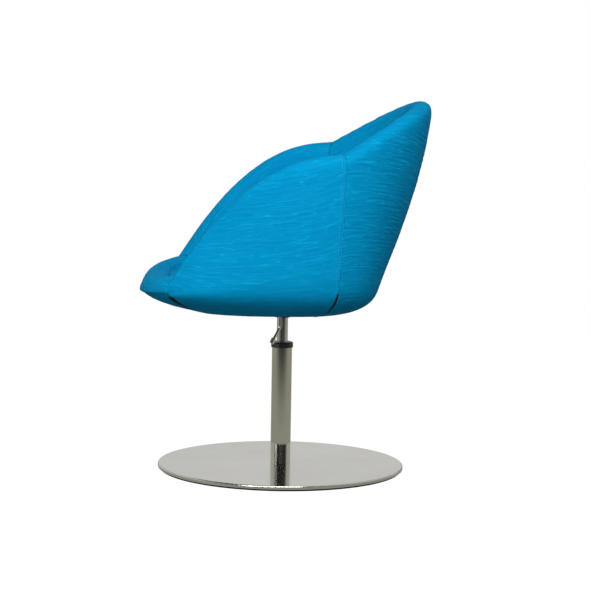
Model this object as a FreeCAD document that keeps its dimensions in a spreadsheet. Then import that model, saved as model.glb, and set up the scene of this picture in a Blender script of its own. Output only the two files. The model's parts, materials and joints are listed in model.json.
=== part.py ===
import FreeCAD, Part
import Sketcher
import math
import os

# Pedestal swivel armchair: a stretch-covered foam bucket on a gas column and a steel disc foot.
# Millimetres. +Z is up, the sitter faces -Y, the origin lies on the floor under the column.

V = FreeCAD.Vector
UP = V(0, 0, 1)
doc = FreeCAD.newDocument("pedestal_armchair")

# Driving dimensions

SIZES = {
    # disc foot
    "disc_radius": 275, "pad_thickness": 4, "pad_inset": 5, "weight_thickness": 6.5,
    "cover_sheet": 1.5, "cover_lip_gap": 0.3, "disc_edge_round": 2.5, "bolt_well_radius": 20,
    "foot_bolt_radius": 6, "foot_bolt_head_radius": 16, "foot_bolt_head_height": 3.2,
    # column
    "column_radius": 22.5, "column_wall": 2, "column_length": 264, "plug_height": 22,
    "sliding_fit": 0.06, "pressed_fit": 0.05, "loose_fit": 0.3,
    "bush_length": 70, "collar_height": 12, "collar_overhang": 2.2, "collar_round": 3.5,
    # thrust bearing at the foot of the piston rod
    "carrier_rise": 14, "carrier_height": 6, "race_thickness": 2.5, "race_radius": 14,
    "ball_radius": 2.4, "ball_count": 8, "cage_thickness": 3,
    "tail_radius": 4, "tail_overrun": 3, "clip_thickness": 1.6, "clip_radius": 8,
    "clip_groove": 0.8, "buffer_height": 12, "buffer_radius": 13,
    # gas spring
    "gas_radius": 12.5, "gas_wall": 1.8, "rod_radius": 5, "gland_height": 14,
    "piston_height": 14, "lift_up": 30, "lift_down": 50, "stop_gap": 2, "exposed_tube": 79.5,
    "valve_height": 24, "button_radius": 3, "button_rise": 6, "button_length": 20,
    "button_chamfer": 1,
    # seat plate and hub
    "plate_side": 160, "plate_thickness": 4, "plate_corner": 14, "bolt_pitch": 120,
    "bolt_radius": 4, "bolt_head_radius": 7.5, "bolt_head_height": 5.3, "bolt_reach": 18,
    "washer_thickness": 1.6, "washer_radius": 8.5, "hub_radius": 18, "hub_drop": 20,
    "hub_rise": 10, "taper_drop": 0.7,
    # release lever
    "lever_radius": 3, "lever_pivot": 28, "lever_reach": 150, "lever_bend": 15,
    "lever_knee_drop": 49, "lever_tip_drop": 78, "lever_offset": 8, "lever_slant": 15,
    "lever_cap_radius": 5.2, "lever_cap_length": 12, "ear_thickness": 3, "ear_gap": 14,
    "ear_width": 16, "pin_radius": 2.5, "pin_head_radius": 4, "pin_head_height": 1.5,
    "sleeve_radius": 5, "button_play": 0.3, "paddle_overhang": 3,
    # welded square bar frame
    "frame_half": 6, "frame_rise": 44, "frame_front": 218, "frame_rear": 165,
    "frame_half_front": 250, "frame_half_rear": 262, "frame_corner": 120, "cross_drop": 8,
    "boss_radius": 8, "arm_hoop_front": 188, "arm_hoop_shoulder": 105, "arm_hoop_end": 60,
    "arm_shoulder_rise": 178, "arm_hoop_rise": 258, "arm_hoop_bend": 45,
    "arm_shoulder_inset": 29, "arm_hoop_inset": 13.5,
    "back_hoop_half": 102, "back_hoop_rise": 335, "back_hoop_bend": 60, "back_hoop_lean": 0.35,
    # covers and seams of the bucket
    "cover_thickness": 3, "cover_clearance": 0.3, "seam_gap": 0.5, "underside_sheet": 3,
    "front_seam_angle": 46.3, "rear_seam_angle": 111.5,
    # plan of the bucket at its underside, at its belt and at its rim
    "foot_side": 198, "foot_front": 196, "foot_back": 150,
    "belt_side": 313, "belt_front": 319, "belt_back": 213,
    "rim_waist": 320, "rim_side": 329, "rim_rear_corner": 338, "rim_rear_quarter": 329,
    "rim_back": 323, "rim_radius": 22,
    # heights of the bucket above its underside
    "belt_front_rise": 34, "belt_corner_rise": 42, "belt_side_rise": 70,
    "belt_back_rise": 54, "nose_rise": 73,
    "nose_corner_rise": 88, "nose_setback": 3, "arm_rise": 354, "back_rise": 461,
    # seat well
    "seat_rise": 64, "seat_side": 232, "seat_front": 236, "seat_back": 152, "seat_crown": 9,
    "seat_turn": 8,
    # black gussets where the cover edges part under the belly
    "gusset_half_width": 2.8, "gusset_sheet": 1, "gusset_sink": 1.6, "gusset_clearance": 0.25,
    # hollows in the foam above the seat plate and the lever
    "well_length": 150, "well_width": 110, "well_depth": 28, "slot_reach": 172,
    "slot_width": 30, "slot_depth": 36,
}

sheet = doc.addObject("Spreadsheet::Sheet", "Sizes")
for row, (alias, value) in enumerate(SIZES.items(), start=1):
    sheet.set(f"A{row}", alias)
    sheet.set(f"B{row}", str(value))
    sheet.setAlias(f"B{row}", alias)
doc.recompute()


def size(alias):
    return float(getattr(sheet, alias))


def total(formula):
    """Number for a formula of aliases and numbers joined by + - * / with spaces."""
    result = 0.0
    term = 1.0
    sign = 1.0
    divide = False
    for word in formula.split():
        if word in ("+", "-"):
            result += sign * term
            sign = 1.0 if word == "+" else -1.0
            term = 1.0
        elif word in ("*", "/"):
            divide = word == "/"
        else:
            number = float(getattr(sheet, word)) if word in SIZES else float(word)
            term = term / number if divide else term * number
            divide = False
    return result + sign * term


def bound(formula):
    """The same formula as an expression that reads the sheet."""
    return " ".join(f"Sizes.{word}" if word in SIZES else word for word in formula.split())


# Heights that several pieces share

WEIGHT_TOP = "pad_thickness + weight_thickness"
DISC_TOP = WEIGHT_TOP + " + cover_sheet"
LIP_BOTTOM = "pad_thickness + cover_lip_gap"
COLUMN_TOP = WEIGHT_TOP + " + column_length"
COLLAR_TOP = COLUMN_TOP + " + collar_height"
PLUG_TOP = WEIGHT_TOP + " + plug_height"
CARRIER_BOTTOM = PLUG_TOP + " + carrier_rise"
CARRIER_TOP = CARRIER_BOTTOM + " + carrier_height"
LOWER_RACE_TOP = CARRIER_TOP + " + race_thickness"
BALL_CENTRE = LOWER_RACE_TOP + " + ball_radius + sliding_fit"
UPPER_RACE_BOTTOM = BALL_CENTRE + " + ball_radius + sliding_fit"
UPPER_RACE_TOP = UPPER_RACE_BOTTOM + " + race_thickness"
BUFFER_TOP = UPPER_RACE_TOP + " + buffer_height"
CLIP_TOP = CARRIER_BOTTOM + " - loose_fit"
CLIP_BOTTOM = CLIP_TOP + " - clip_thickness"
TAIL_BOTTOM = CLIP_BOTTOM + " - tail_overrun"
GAS_BOTTOM = BUFFER_TOP + " + stop_gap + lift_down"
GLAND_TOP = GAS_BOTTOM + " + gland_height"
PISTON_BOTTOM = GLAND_TOP + " + lift_up + stop_gap"
PISTON_TOP = PISTON_BOTTOM + " + piston_height"
UNDERSIDE = COLLAR_TOP + " + exposed_tube"
PLATE_BOTTOM = UNDERSIDE + " - plate_thickness"
HUB_BOTTOM = PLATE_BOTTOM + " - hub_drop"
HUB_TOP = UNDERSIDE + " + hub_rise"
BUTTON_TOP = HUB_TOP + " + button_rise"
LEVER_AXIS = BUTTON_TOP + " + button_play + lever_radius"
COLUMN_BORE = "column_radius - column_wall"
GAS_BORE = "gas_radius - gas_wall"

finished = []


def finish(piece, label):
    piece.Label = label
    finished.append(piece)
    return piece


# Turned pieces: a constrained half section turned about the column axis


def lathe(label, outline):
    body = doc.addObject("PartDesign::Body", f"{label}_body")
    sketch = body.newObject("Sketcher::SketchObject", f"{label}_section")
    plane = next(f for f in body.Origin.OriginFeatures if f.Role == "XZ_Plane")
    sketch.AttachmentSupport = [(plane, "")]
    sketch.MapMode = "FlatFace"
    corners = [V(total(radius), total(height), 0) for radius, height in outline]
    count = len(corners)
    for i, corner in enumerate(corners):
        sketch.addGeometry(Part.LineSegment(corner, corners[(i + 1) % count]))
    for i in range(count):
        sketch.addConstraint(Sketcher.Constraint("Coincident", i, 2, (i + 1) % count, 1))
    for i, (radius, height) in enumerate(outline):
        if radius == "0":
            sketch.addConstraint(Sketcher.Constraint("PointOnObject", i, 1, -2))
        else:
            place = sketch.addConstraint(
                Sketcher.Constraint("DistanceX", -1, 1, i, 1, total(radius)))
            sketch.setExpression(f"Constraints[{place}]", bound(radius))
        if height == "0":
            sketch.addConstraint(Sketcher.Constraint("PointOnObject", i, 1, -1))
        else:
            place = sketch.addConstraint(
                Sketcher.Constraint("DistanceY", -1, 1, i, 1, total(height)))
            sketch.setExpression(f"Constraints[{place}]", bound(height))
    turned = body.newObject("PartDesign::Revolution", f"{label}_turned")
    turned.Profile = sketch
    turned.ReferenceAxis = (sketch, ["V_Axis"])
    turned.Angle = 360
    doc.recompute()
    return finish(body, label)


def ring(label, inner, outer, low, high):
    return lathe(label, [(inner, low), (outer, low), (outer, high), (inner, high)])


def soften(body, radius, height, alias):
    """Round the circular edge of a turned body that lies at this radius and height."""
    base = body.Tip
    edges = []
    for i, edge in enumerate(base.Shape.Edges, start=1):
        curve = edge.Curve
        if not isinstance(curve, Part.Circle):
            continue
        if abs(curve.Radius - total(radius)) < 0.01 and abs(curve.Center.z - total(height)) < 0.01:
            edges.append(f"Edge{i}")
    fillet = body.newObject("PartDesign::Fillet", f"{body.Label}_round")
    fillet.Base = (base, edges)
    fillet.setExpression("Radius", bound(alias))
    body.Tip = fillet
    doc.recompute()


# Disc foot

lathe("floor_pad", [
    ("0", "0"),
    ("disc_radius - pad_inset", "0"),
    ("disc_radius - pad_inset", "pad_thickness"),
    ("bolt_well_radius", "pad_thickness"),
    ("bolt_well_radius", "pad_thickness - foot_bolt_head_height"),
    ("0", "pad_thickness - foot_bolt_head_height"),
])
ring("base_weight", "foot_bolt_radius + loose_fit", "disc_radius - cover_sheet - loose_fit",
     "pad_thickness", WEIGHT_TOP)
base_cover = lathe("base_cover", [
    ("disc_radius - cover_sheet", LIP_BOTTOM),
    ("disc_radius", LIP_BOTTOM),
    ("disc_radius", DISC_TOP),
    ("column_radius + loose_fit", DISC_TOP),
    ("column_radius + loose_fit", WEIGHT_TOP),
    ("disc_radius - cover_sheet", WEIGHT_TOP),
])
soften(base_cover, "disc_radius", DISC_TOP, "disc_edge_round")
lathe("base_bolt", [
    ("0", "pad_thickness - foot_bolt_head_height"),
    ("foot_bolt_head_radius", "pad_thickness - foot_bolt_head_height"),
    ("foot_bolt_head_radius", "pad_thickness"),
    ("foot_bolt_radius", "pad_thickness"),
    ("foot_bolt_radius", PLUG_TOP),
    ("0", PLUG_TOP),
])

# Column

ring("column_tube", COLUMN_BORE, "column_radius", WEIGHT_TOP, COLUMN_TOP)
ring("column_plug", "foot_bolt_radius + pressed_fit", COLUMN_BORE + " - pressed_fit",
     WEIGHT_TOP, PLUG_TOP)
ring("guide_bush", "gas_radius + sliding_fit", COLUMN_BORE + " - pressed_fit",
     COLUMN_TOP + " - bush_length", COLUMN_TOP)
collar = ring("column_collar", "gas_radius + loose_fit", "column_radius + collar_overhang",
              COLUMN_TOP, COLLAR_TOP)
soften(collar, "column_radius + collar_overhang", COLLAR_TOP, "collar_round")

# Thrust bearing that carries the piston rod

ring("bearing_carrier", "tail_radius + sliding_fit", COLUMN_BORE + " - pressed_fit",
     CARRIER_BOTTOM, CARRIER_TOP)
ring("lower_race", "tail_radius + loose_fit", "race_radius", CARRIER_TOP, LOWER_RACE_TOP)
ring("upper_race", "tail_radius + sliding_fit", "race_radius", UPPER_RACE_BOTTOM, UPPER_RACE_TOP)
lathe("rod_clip", [
    ("tail_radius - clip_groove + pressed_fit", CLIP_BOTTOM),
    ("clip_radius", CLIP_BOTTOM),
    ("clip_radius", CLIP_TOP),
    ("tail_radius - clip_groove + pressed_fit", CLIP_TOP),
])
ring("stop_buffer", "rod_radius + sliding_fit", "buffer_radius", UPPER_RACE_TOP, BUFFER_TOP)


def ball_circle():
    """Radius of the circle of ball centres, midway across the race."""
    return (size("tail_radius") + size("race_radius")) / 2 + size("loose_fit")


def balls(radius):
    centre = V(ball_circle(), 0, total(BALL_CENTRE))
    ball = Part.makeSphere(radius, centre)
    turn = 360 / size("ball_count")
    row = []
    for i in range(int(size("ball_count"))):
        copy = ball.copy()
        copy.rotate(V(0, 0, 0), UP, i * turn)
        row.append(copy)
    return row


def made(label, shape):
    piece = doc.addObject("Part::Feature", f"{label}_solid")
    piece.Shape = shape
    piece.Placement = FreeCAD.Placement()
    return finish(piece, label)


def tube_ring(inner, outer, low, high):
    outside = Part.makeCylinder(outer, high - low, V(0, 0, low))
    return outside.cut(Part.makeCylinder(inner, high - low, V(0, 0, low)))


cage_half = size("cage_thickness") / 2
cage = tube_ring(size("tail_radius") + size("loose_fit"), size("race_radius") - size("sliding_fit"),
                 total(BALL_CENTRE) - cage_half, total(BALL_CENTRE) + cage_half)
for pocket in balls(size("ball_radius") + size("loose_fit") / 2):
    cage = cage.cut(pocket)
made("ball_cage", cage)
made("bearing_balls", Part.makeCompound(balls(size("ball_radius"))))

# Gas spring

lathe("piston_rod", [
    ("0", TAIL_BOTTOM),
    ("tail_radius", TAIL_BOTTOM),
    ("tail_radius", CLIP_BOTTOM),
    ("tail_radius - clip_groove", CLIP_BOTTOM),
    ("tail_radius - clip_groove", CLIP_TOP),
    ("tail_radius", CLIP_TOP),
    ("tail_radius", UPPER_RACE_TOP),
    ("rod_radius", UPPER_RACE_TOP),
    ("rod_radius", PISTON_BOTTOM),
    (GAS_BORE + " - sliding_fit", PISTON_BOTTOM),
    (GAS_BORE + " - sliding_fit", PISTON_TOP),
    ("0", PISTON_TOP),
])
ring("rod_gland", "rod_radius + sliding_fit", GAS_BORE + " - pressed_fit", GAS_BOTTOM, GLAND_TOP)
lathe("gas_tube", [
    (GAS_BORE, GAS_BOTTOM),
    ("gas_radius", GAS_BOTTOM),
    ("gas_radius", HUB_BOTTOM),
    ("gas_radius - taper_drop", HUB_TOP),
    (GAS_BORE, HUB_TOP),
])
ring("valve_body", "button_radius + sliding_fit", GAS_BORE + " - pressed_fit",
     HUB_TOP + " - valve_height", HUB_TOP)
lathe("release_button", [
    ("0", BUTTON_TOP + " - button_length"),
    ("button_radius", BUTTON_TOP + " - button_length"),
    ("button_radius", BUTTON_TOP + " - button_chamfer"),
    ("button_radius - button_chamfer", BUTTON_TOP),
    ("0", BUTTON_TOP),
])
lathe("taper_hub", [
    ("gas_radius + pressed_fit", HUB_BOTTOM),
    ("hub_radius", HUB_BOTTOM),
    ("hub_radius", HUB_TOP),
    ("gas_radius - taper_drop + pressed_fit", HUB_TOP),
])

# Seat plate with the lever's ears, and its four bolts


def place(piece, x, y, z):
    for axis, formula in (("x", x), ("y", y), ("z", z)):
        piece.setExpression(f"Placement.Base.{axis}", bound(formula))
    return piece


def cylinder(name, radius, height, x, y, z, axis=UP):
    piece = doc.addObject("Part::Cylinder", name)
    piece.setExpression("Radius", bound(radius))
    piece.setExpression("Height", bound(height))
    piece.Placement = FreeCAD.Placement(V(0, 0, 0), FreeCAD.Rotation(UP, axis))
    return place(piece, x, y, z)


def block(name, length, width, height, x, y, z):
    piece = doc.addObject("Part::Box", name)
    piece.setExpression("Length", bound(length))
    piece.setExpression("Width", bound(width))
    piece.setExpression("Height", bound(height))
    return place(piece, x, y, z)


def joined(name, pieces):
    fusion = doc.addObject("Part::MultiFuse", name)
    fusion.Shapes = pieces
    return fusion


def less(name, base, tools):
    tool = joined(f"{name}_tools", tools) if len(tools) > 1 else tools[0]
    piece = doc.addObject("Part::Cut", name)
    piece.Base = base
    piece.Tool = tool
    return piece


CORNERS = [(1, 1), (-1, 1), (-1, -1), (1, -1)]
HALF_PITCH = "bolt_pitch / 2"
EAR_Y = "ear_gap / 2"


def signed(sign, formula):
    return formula if sign > 0 else f"0 - {formula}"


slab = block("plate_slab", "plate_side", "plate_side", "plate_thickness",
             "0 - plate_side / 2", "0 - plate_side / 2", PLATE_BOTTOM)
doc.recompute()
rounded = doc.addObject("Part::Fillet", "plate_rounded")
rounded.Base = slab
uprights = [i for i, edge in enumerate(slab.Shape.Edges, start=1)
            if abs(edge.tangentAt(edge.FirstParameter).z) > 0.5]
rounded.Edges = [(i, size("plate_corner"), size("plate_corner")) for i in uprights]
ears = [
    block(f"ear_{side}", "ear_width", "ear_thickness",
          "hub_rise + button_rise + button_play + lever_radius + sleeve_radius",
          "lever_pivot - ear_width / 2", start, UNDERSIDE)
    for side, start in (("left", EAR_Y), ("right", "0 - ear_gap / 2 - ear_thickness"))
]
Y_AXIS = V(0, 1, 0)
plate_holes = [
    cylinder(f"bolt_hole_{i}", "bolt_radius + loose_fit", "plate_thickness",
             signed(sx, HALF_PITCH), signed(sy, HALF_PITCH), PLATE_BOTTOM)
    for i, (sx, sy) in enumerate(CORNERS)
]
plate_holes.append(cylinder("hub_hole", "hub_radius + pressed_fit", "plate_thickness",
                            "0", "0", PLATE_BOTTOM))
plate_holes.append(cylinder("pin_hole", "pin_radius + pressed_fit",
                            "ear_gap + 2 * ear_thickness", "lever_pivot",
                            "0 - ear_gap / 2 - ear_thickness", LEVER_AXIS, Y_AXIS))
seat_plate = less("seat_plate_cut", joined("plate_and_ears", [rounded] + ears), plate_holes)
finish(seat_plate, "seat_plate")


def group(label, pieces):
    compound = doc.addObject("Part::Compound", f"{label}_group")
    compound.Links = pieces
    return finish(compound, label)


BOLT_SEAT = PLATE_BOTTOM + " - washer_thickness"


def seat_bolt(i, x, y):
    head = doc.addObject("Part::Prism", f"bolt_head_{i}")
    head.Polygon = 6
    head.setExpression("Circumradius", bound("bolt_head_radius"))
    head.setExpression("Height", bound("bolt_head_height"))
    place(head, x, y, BOLT_SEAT + " - bolt_head_height")
    shank = cylinder(f"bolt_shank_{i}", "bolt_radius",
                     "washer_thickness + plate_thickness + bolt_reach", x, y, BOLT_SEAT)
    return joined(f"bolt_{i}", [head, shank])


def seat_washer(i, x, y):
    disc = cylinder(f"washer_disc_{i}", "washer_radius", "washer_thickness", x, y, BOLT_SEAT)
    hole = cylinder(f"washer_hole_{i}", "bolt_radius + loose_fit", "washer_thickness",
                    x, y, BOLT_SEAT)
    return less(f"washer_{i}", disc, [hole])


places = [(signed(sx, HALF_PITCH), signed(sy, HALF_PITCH)) for sx, sy in CORNERS]
group("seat_bolts", [seat_bolt(i, x, y) for i, (x, y) in enumerate(places)])
group("seat_washers", [seat_washer(i, x, y) for i, (x, y) in enumerate(places)])

# Release lever: a bent rod on a sleeve, with an end cap, rocking on a pin between the ears


def bent_path(points, radius):
    """Straight runs through the points, joined by tangent arcs of the given radius."""
    edges = []
    start = points[0]
    for before, corner, after in zip(points, points[1:], points[2:]):
        back = (before - corner).normalize()
        ahead = (after - corner).normalize()
        half = back.getAngle(ahead) / 2
        setback = radius / math.tan(half)
        first = corner + back * setback
        last = corner + ahead * setback
        middle_way = (back + ahead).normalize()
        middle = corner + middle_way * (radius / math.sin(half) - radius)
        edges.append(Part.makeLine(start, first))
        edges.append(Part.Arc(first, middle, last).toShape())
        start = last
    edges.append(Part.makeLine(start, points[-1]))
    return Part.Wire(edges)


def pipe(points, bend, radius):
    path = bent_path(points, bend)
    aim = points[1] - points[0]
    section = Part.Wire(Part.makeCircle(radius, points[0], aim))
    return path.makePipeShell([section], True, False)


lever_z = total(LEVER_AXIS)
offset = size("lever_offset")
lever_points = [
    V(-size("paddle_overhang"), 0, lever_z),
    V(size("lever_reach"), -offset, lever_z),
    V(size("lever_reach"), -offset, lever_z - size("lever_knee_drop")),
    V(size("lever_reach"), -offset - size("lever_slant"), lever_z - size("lever_tip_drop")),
]
pivot = V(size("lever_pivot"), 0, lever_z)
sleeve_length = size("ear_gap") - 2 * size("loose_fit")
sleeve = Part.makeCylinder(size("sleeve_radius"), sleeve_length,
                           pivot - Y_AXIS * (sleeve_length / 2), Y_AXIS)
sleeve_bore = Part.makeCylinder(size("pin_radius") + size("sliding_fit"), sleeve_length,
                                pivot - Y_AXIS * (sleeve_length / 2), Y_AXIS)
lever = pipe(lever_points, size("lever_bend"), size("lever_radius"))
made("release_lever", lever.fuse(sleeve).cut(sleeve_bore))
tip = lever_points[3]
tip_way = (lever_points[3] - lever_points[2]).normalize()
cap = Part.makeCylinder(size("lever_cap_radius"), size("lever_cap_length"),
                        tip - tip_way * (size("lever_cap_length") / 2), tip_way)
cap = cap.makeFillet(size("lever_radius") / 2,
                     [edge for edge in cap.Edges if isinstance(edge.Curve, Part.Circle)])
socket = Part.makeCylinder(size("lever_radius") + size("pressed_fit"),
                           size("lever_cap_length") / 2,
                           tip - tip_way * (size("lever_cap_length") / 2), tip_way)
made("lever_cap", cap.cut(socket))
pin_half = size("ear_gap") / 2 + size("ear_thickness")
pin = Part.makeCylinder(size("pin_radius"), 2 * pin_half, pivot - Y_AXIS * pin_half, Y_AXIS)
for way in (Y_AXIS, -Y_AXIS):
    pin = pin.fuse(Part.makeCylinder(size("pin_head_radius"), size("pin_head_height"),
                                     pivot + way * pin_half, way))
made("lever_pin", pin)

# Welded steel frame of square bar inside the foam

underside = total(UNDERSIDE)
hoop_z = underside + size("frame_rise")


def bar(points, bend, half):
    """Square bar of this half width, bent along the points in their plane."""
    path = bent_path(points, bend)
    aim = (points[1] - points[0]).normalize()
    normal = aim.cross(points[2] - points[1]).normalize()
    side = normal.cross(aim)
    corners = [points[0] + side * (a * half) + normal * (b * half) for a, b in CORNERS]
    section = Part.makePolygon(corners + corners[:1])
    return path.makePipeShell([section], True, False)


def side_x(y):
    """Half width of the seat hoop's straight side at this Y."""
    along = (y + size("frame_front")) / (size("frame_front") + size("frame_rear"))
    return size("frame_half_front") + along * (size("frame_half_rear") - size("frame_half_front"))


def seat_hoop(half):
    front = -size("frame_front")
    rear = size("frame_rear")
    loop = [
        V(0, front, hoop_z),
        V(side_x(front), front, hoop_z),
        V(side_x(rear), rear, hoop_z),
        V(-side_x(rear), rear, hoop_z),
        V(-side_x(front), front, hoop_z),
        V(0, front, hoop_z),
    ]
    return bar(loop, size("frame_corner"), half)


def arm_hoop(side, half):
    front = -size("arm_hoop_front")
    shoulder = -size("arm_hoop_shoulder")
    end = size("arm_hoop_end")
    belt = size("belt_side")
    shoulder_x = (size("rim_waist") + belt) / 2 - size("arm_shoulder_inset")
    end_x = (size("rim_side") + belt) / 2 - size("arm_hoop_inset")

    def at(x, y, rise):
        return V(side * x, y, hoop_z + rise)

    points = [at(side_x(front), front, 0), at(shoulder_x, shoulder, size("arm_shoulder_rise")),
              at(end_x, end, size("arm_hoop_rise")), at(side_x(end), end, 0)]
    return bar(points, size("arm_hoop_bend"), half)


def back_hoop(half):
    reach = size("back_hoop_half")
    rise = size("back_hoop_rise")
    rear = size("frame_rear")
    lean = size("back_hoop_lean")
    points = [V(reach, rear, hoop_z), V(reach, rear + lean * rise, hoop_z + rise),
              V(-reach, rear + lean * rise, hoop_z + rise), V(-reach, rear, hoop_z)]
    return bar(points, size("back_hoop_bend"), half)


def cross_bar(y, half):
    level = hoop_z - size("cross_drop")
    reach = side_x(y) - size("frame_half") / 2
    return Part.makeBox(2 * reach, 2 * half, 2 * half, V(-reach, y - half, level - half))


def frame_bars(half):
    half_pitch = size("bolt_pitch") / 2
    parts = [arm_hoop(1, half), arm_hoop(-1, half), back_hoop(half),
             cross_bar(half_pitch, half), cross_bar(-half_pitch, half)]
    return seat_hoop(half).multiFuse(parts)


def frame_bosses(radius, low):
    half_pitch = size("bolt_pitch") / 2
    top = hoop_z - size("cross_drop")
    return [Part.makeCylinder(radius, top - low, V(sx * half_pitch, sy * half_pitch, low))
            for sx, sy in CORNERS]


frame = frame_bars(size("frame_half")).multiFuse(frame_bosses(size("boss_radius"), underside))
for bore in frame_bosses(size("bolt_radius") + size("pressed_fit"), underside):
    frame = frame.cut(bore)
made("seat_frame", frame.removeSplitter())

# Foam bucket: one smooth skin from the underside over the rim to the seat, in four quarters

FRONT_SEAM = math.radians(size("front_seam_angle"))
REAR_SEAM = math.radians(size("rear_seam_angle"))
SIDE_WAY = math.pi / 2
BACK_WAY = math.pi
WAIST_WAY = math.radians(62)
WIDEST_WAY = math.radians(95)
QUARTER_WAY = math.radians(140)
FRONT_STEPS = 10
SIDE_STEPS = 10
BACK_STEPS = 16
SQUARE_FRONT = 3.46
SQUARE_BACK = 2.7
SQUARE_SEAT = 4
ARM_SWEEP = 2.2
BACK_SWEEP = 1.06
RIM_ANGLES = [math.radians(angle) for angle in (0, 36, 72, 108, 144, 180)]
RIM_POLE = 1.068
WALL_SHARES = (0.15, 0.38, 0.62, 0.85)
BELLY_SHARES = (0.25, 0.5, 0.75)


def through(keys, x):
    """Smooth curve through (x, y) keys that never overshoots them."""
    slopes = [(b[1] - a[1]) / (b[0] - a[0]) for a, b in zip(keys, keys[1:])]
    bends = [0.0]
    for before, after in zip(slopes, slopes[1:]):
        bends.append(2 * before * after / (before + after) if before * after > 0 else 0.0)
    bends.append(0.0)
    for i, (a, b) in enumerate(zip(keys, keys[1:])):
        if x <= b[0] or i == len(slopes) - 1:
            run = b[0] - a[0]
            f = min(max((x - a[0]) / run, 0.0), 1.0)
            ease = f * f * (3 - 2 * f)
            lead = f * (1 - f) * (1 - f) * run * bends[i]
            lag = f * f * (f - 1) * run * bends[i + 1]
            return a[1] + (b[1] - a[1]) * ease + lead + lag
    return keys[-1][1]


def squircle(way, side, end, power):
    across = abs(math.sin(way)) / side
    along = abs(math.cos(way)) / end
    return (across ** power + along ** power) ** (-1 / power)


def plan(way, name, square_front, square_back):
    """Plan radius of the foot, belt or seat outline, in this direction from the column."""
    if way <= SIDE_WAY:
        return squircle(way, size(f"{name}_side"), size(f"{name}_front"), square_front)
    return squircle(way, size(f"{name}_side"), size(f"{name}_back"), square_back)


def rim_plan(way):
    if way <= FRONT_SEAM:
        return plan(way, "belt", SQUARE_FRONT, SQUARE_BACK) - size("nose_setback")
    corner = plan(FRONT_SEAM, "belt", SQUARE_FRONT, SQUARE_BACK) - size("nose_setback")
    return through([
        (FRONT_SEAM, corner),
        (WAIST_WAY, size("rim_waist")),
        (WIDEST_WAY, size("rim_side")),
        (REAR_SEAM, size("rim_rear_corner")),
        (QUARTER_WAY, size("rim_rear_quarter")),
        (BACK_WAY, size("rim_back")),
    ], way)


def rim_y(way):
    return -(rim_plan(way) - size("rim_radius")) * math.cos(way)


def rim_rise(way):
    if way <= FRONT_SEAM:
        climb = size("nose_corner_rise") - size("nose_rise")
        return size("nose_rise") + climb * (way / FRONT_SEAM) ** 2
    if way <= REAR_SEAM:
        left = (rim_y(REAR_SEAM) - rim_y(way)) / (rim_y(REAR_SEAM) - rim_y(FRONT_SEAM))
        fall = size("arm_rise") - size("nose_corner_rise")
        return size("arm_rise") - fall * max(left, 0.0) ** ARM_SWEEP
    left = (rim_y(BACK_WAY) - rim_y(way)) / (rim_y(BACK_WAY) - rim_y(REAR_SEAM))
    fall = size("back_rise") - size("arm_rise")
    return size("back_rise") - fall * max(left, 0.0) ** BACK_SWEEP


def belt_rise(way):
    return through([
        (0.0, size("belt_front_rise")),
        (FRONT_SEAM, size("belt_corner_rise")),
        (SIDE_WAY, size("belt_side_rise")),
        (REAR_SEAM, size("belt_side_rise")),
        (BACK_WAY, size("belt_back_rise")),
    ], way)


def between(a, b, share):
    return a + (b - a) * share


def bezier(points, share):
    while len(points) > 1:
        points = [(between(a[0], b[0], share), between(a[1], b[1], share))
                  for a, b in zip(points, points[1:])]
    return points[0]


def section(way):
    """Poles (radius, rise) of the skin's profile in this direction from the column."""
    foot = plan(way, "foot", SQUARE_FRONT, SQUARE_BACK)
    belt = plan(way, "belt", SQUARE_FRONT, SQUARE_BACK)
    well = plan(way, "seat", SQUARE_SEAT, SQUARE_BACK)
    rim = rim_plan(way)
    top = rim_rise(way)
    waist = belt_rise(way)
    floor = size("seat_rise")
    r = size("rim_radius")
    behind = through([(REAR_SEAM - 0.2, 0.0), (BACK_WAY, 1.0)], way)
    flare = through([(0.0, 0.0), (SIDE_WAY, 0.12), (REAR_SEAM, 0.16), (BACK_WAY, 0.42)], way)
    tuck = through([(0.0, 0.0), (SIDE_WAY, 0.0), (BACK_WAY, 0.08)], way)

    out = belt - foot
    belly = [
        (foot, 0.0),
        (foot + out * between(0.45, 0.6, behind), waist * between(0.18, 0.05, behind)),
        (foot + out * between(0.95, 0.97, behind), waist * between(0.58, 0.35, behind)),
        (belt, waist),
    ]
    poles = [belly[0]] + [bezier(belly, share) for share in BELLY_SHARES] + [belly[3]]

    reach = (top - r - waist) / 3
    wall = [(belt, waist), (belt + flare * reach, waist + reach),
            (rim - tuck * reach, top - r - reach), (rim, top - r)]
    poles += [bezier(wall, share) for share in WALL_SHARES]

    inner_drop = r * (1 - math.exp(-(top - floor) / r))
    for angle in RIM_ANGLES:
        drop = r if angle < SIDE_WAY else inner_drop
        lift = r * (RIM_POLE - 1)
        height = top + lift - drop * RIM_POLE * (1 - math.sin(angle))
        poles.append((rim - r + r * RIM_POLE * math.cos(angle), height))

    inside = rim - 2 * r
    start = top - inner_drop
    reach = (start - floor) / 3
    lining = [(inside, start), (inside - tuck * reach, start - reach),
              (well + flare * reach, floor + reach), (well, floor)]
    poles += [bezier(lining, share) for share in WALL_SHARES]
    turn = size("seat_turn")
    poles += [(well - turn, floor), (well - 2 * turn, floor)]
    return poles


def span(start, end, steps):
    return [between(start, end, i / steps) for i in range(steps)]


turns = (
    span(-FRONT_SEAM, FRONT_SEAM, FRONT_STEPS)
    + span(FRONT_SEAM, REAR_SEAM, SIDE_STEPS)
    + span(REAR_SEAM, 2 * math.pi - REAR_SEAM, BACK_STEPS)
    + span(2 * math.pi - REAR_SEAM, 2 * math.pi - FRONT_SEAM, SIDE_STEPS)
)


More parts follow.
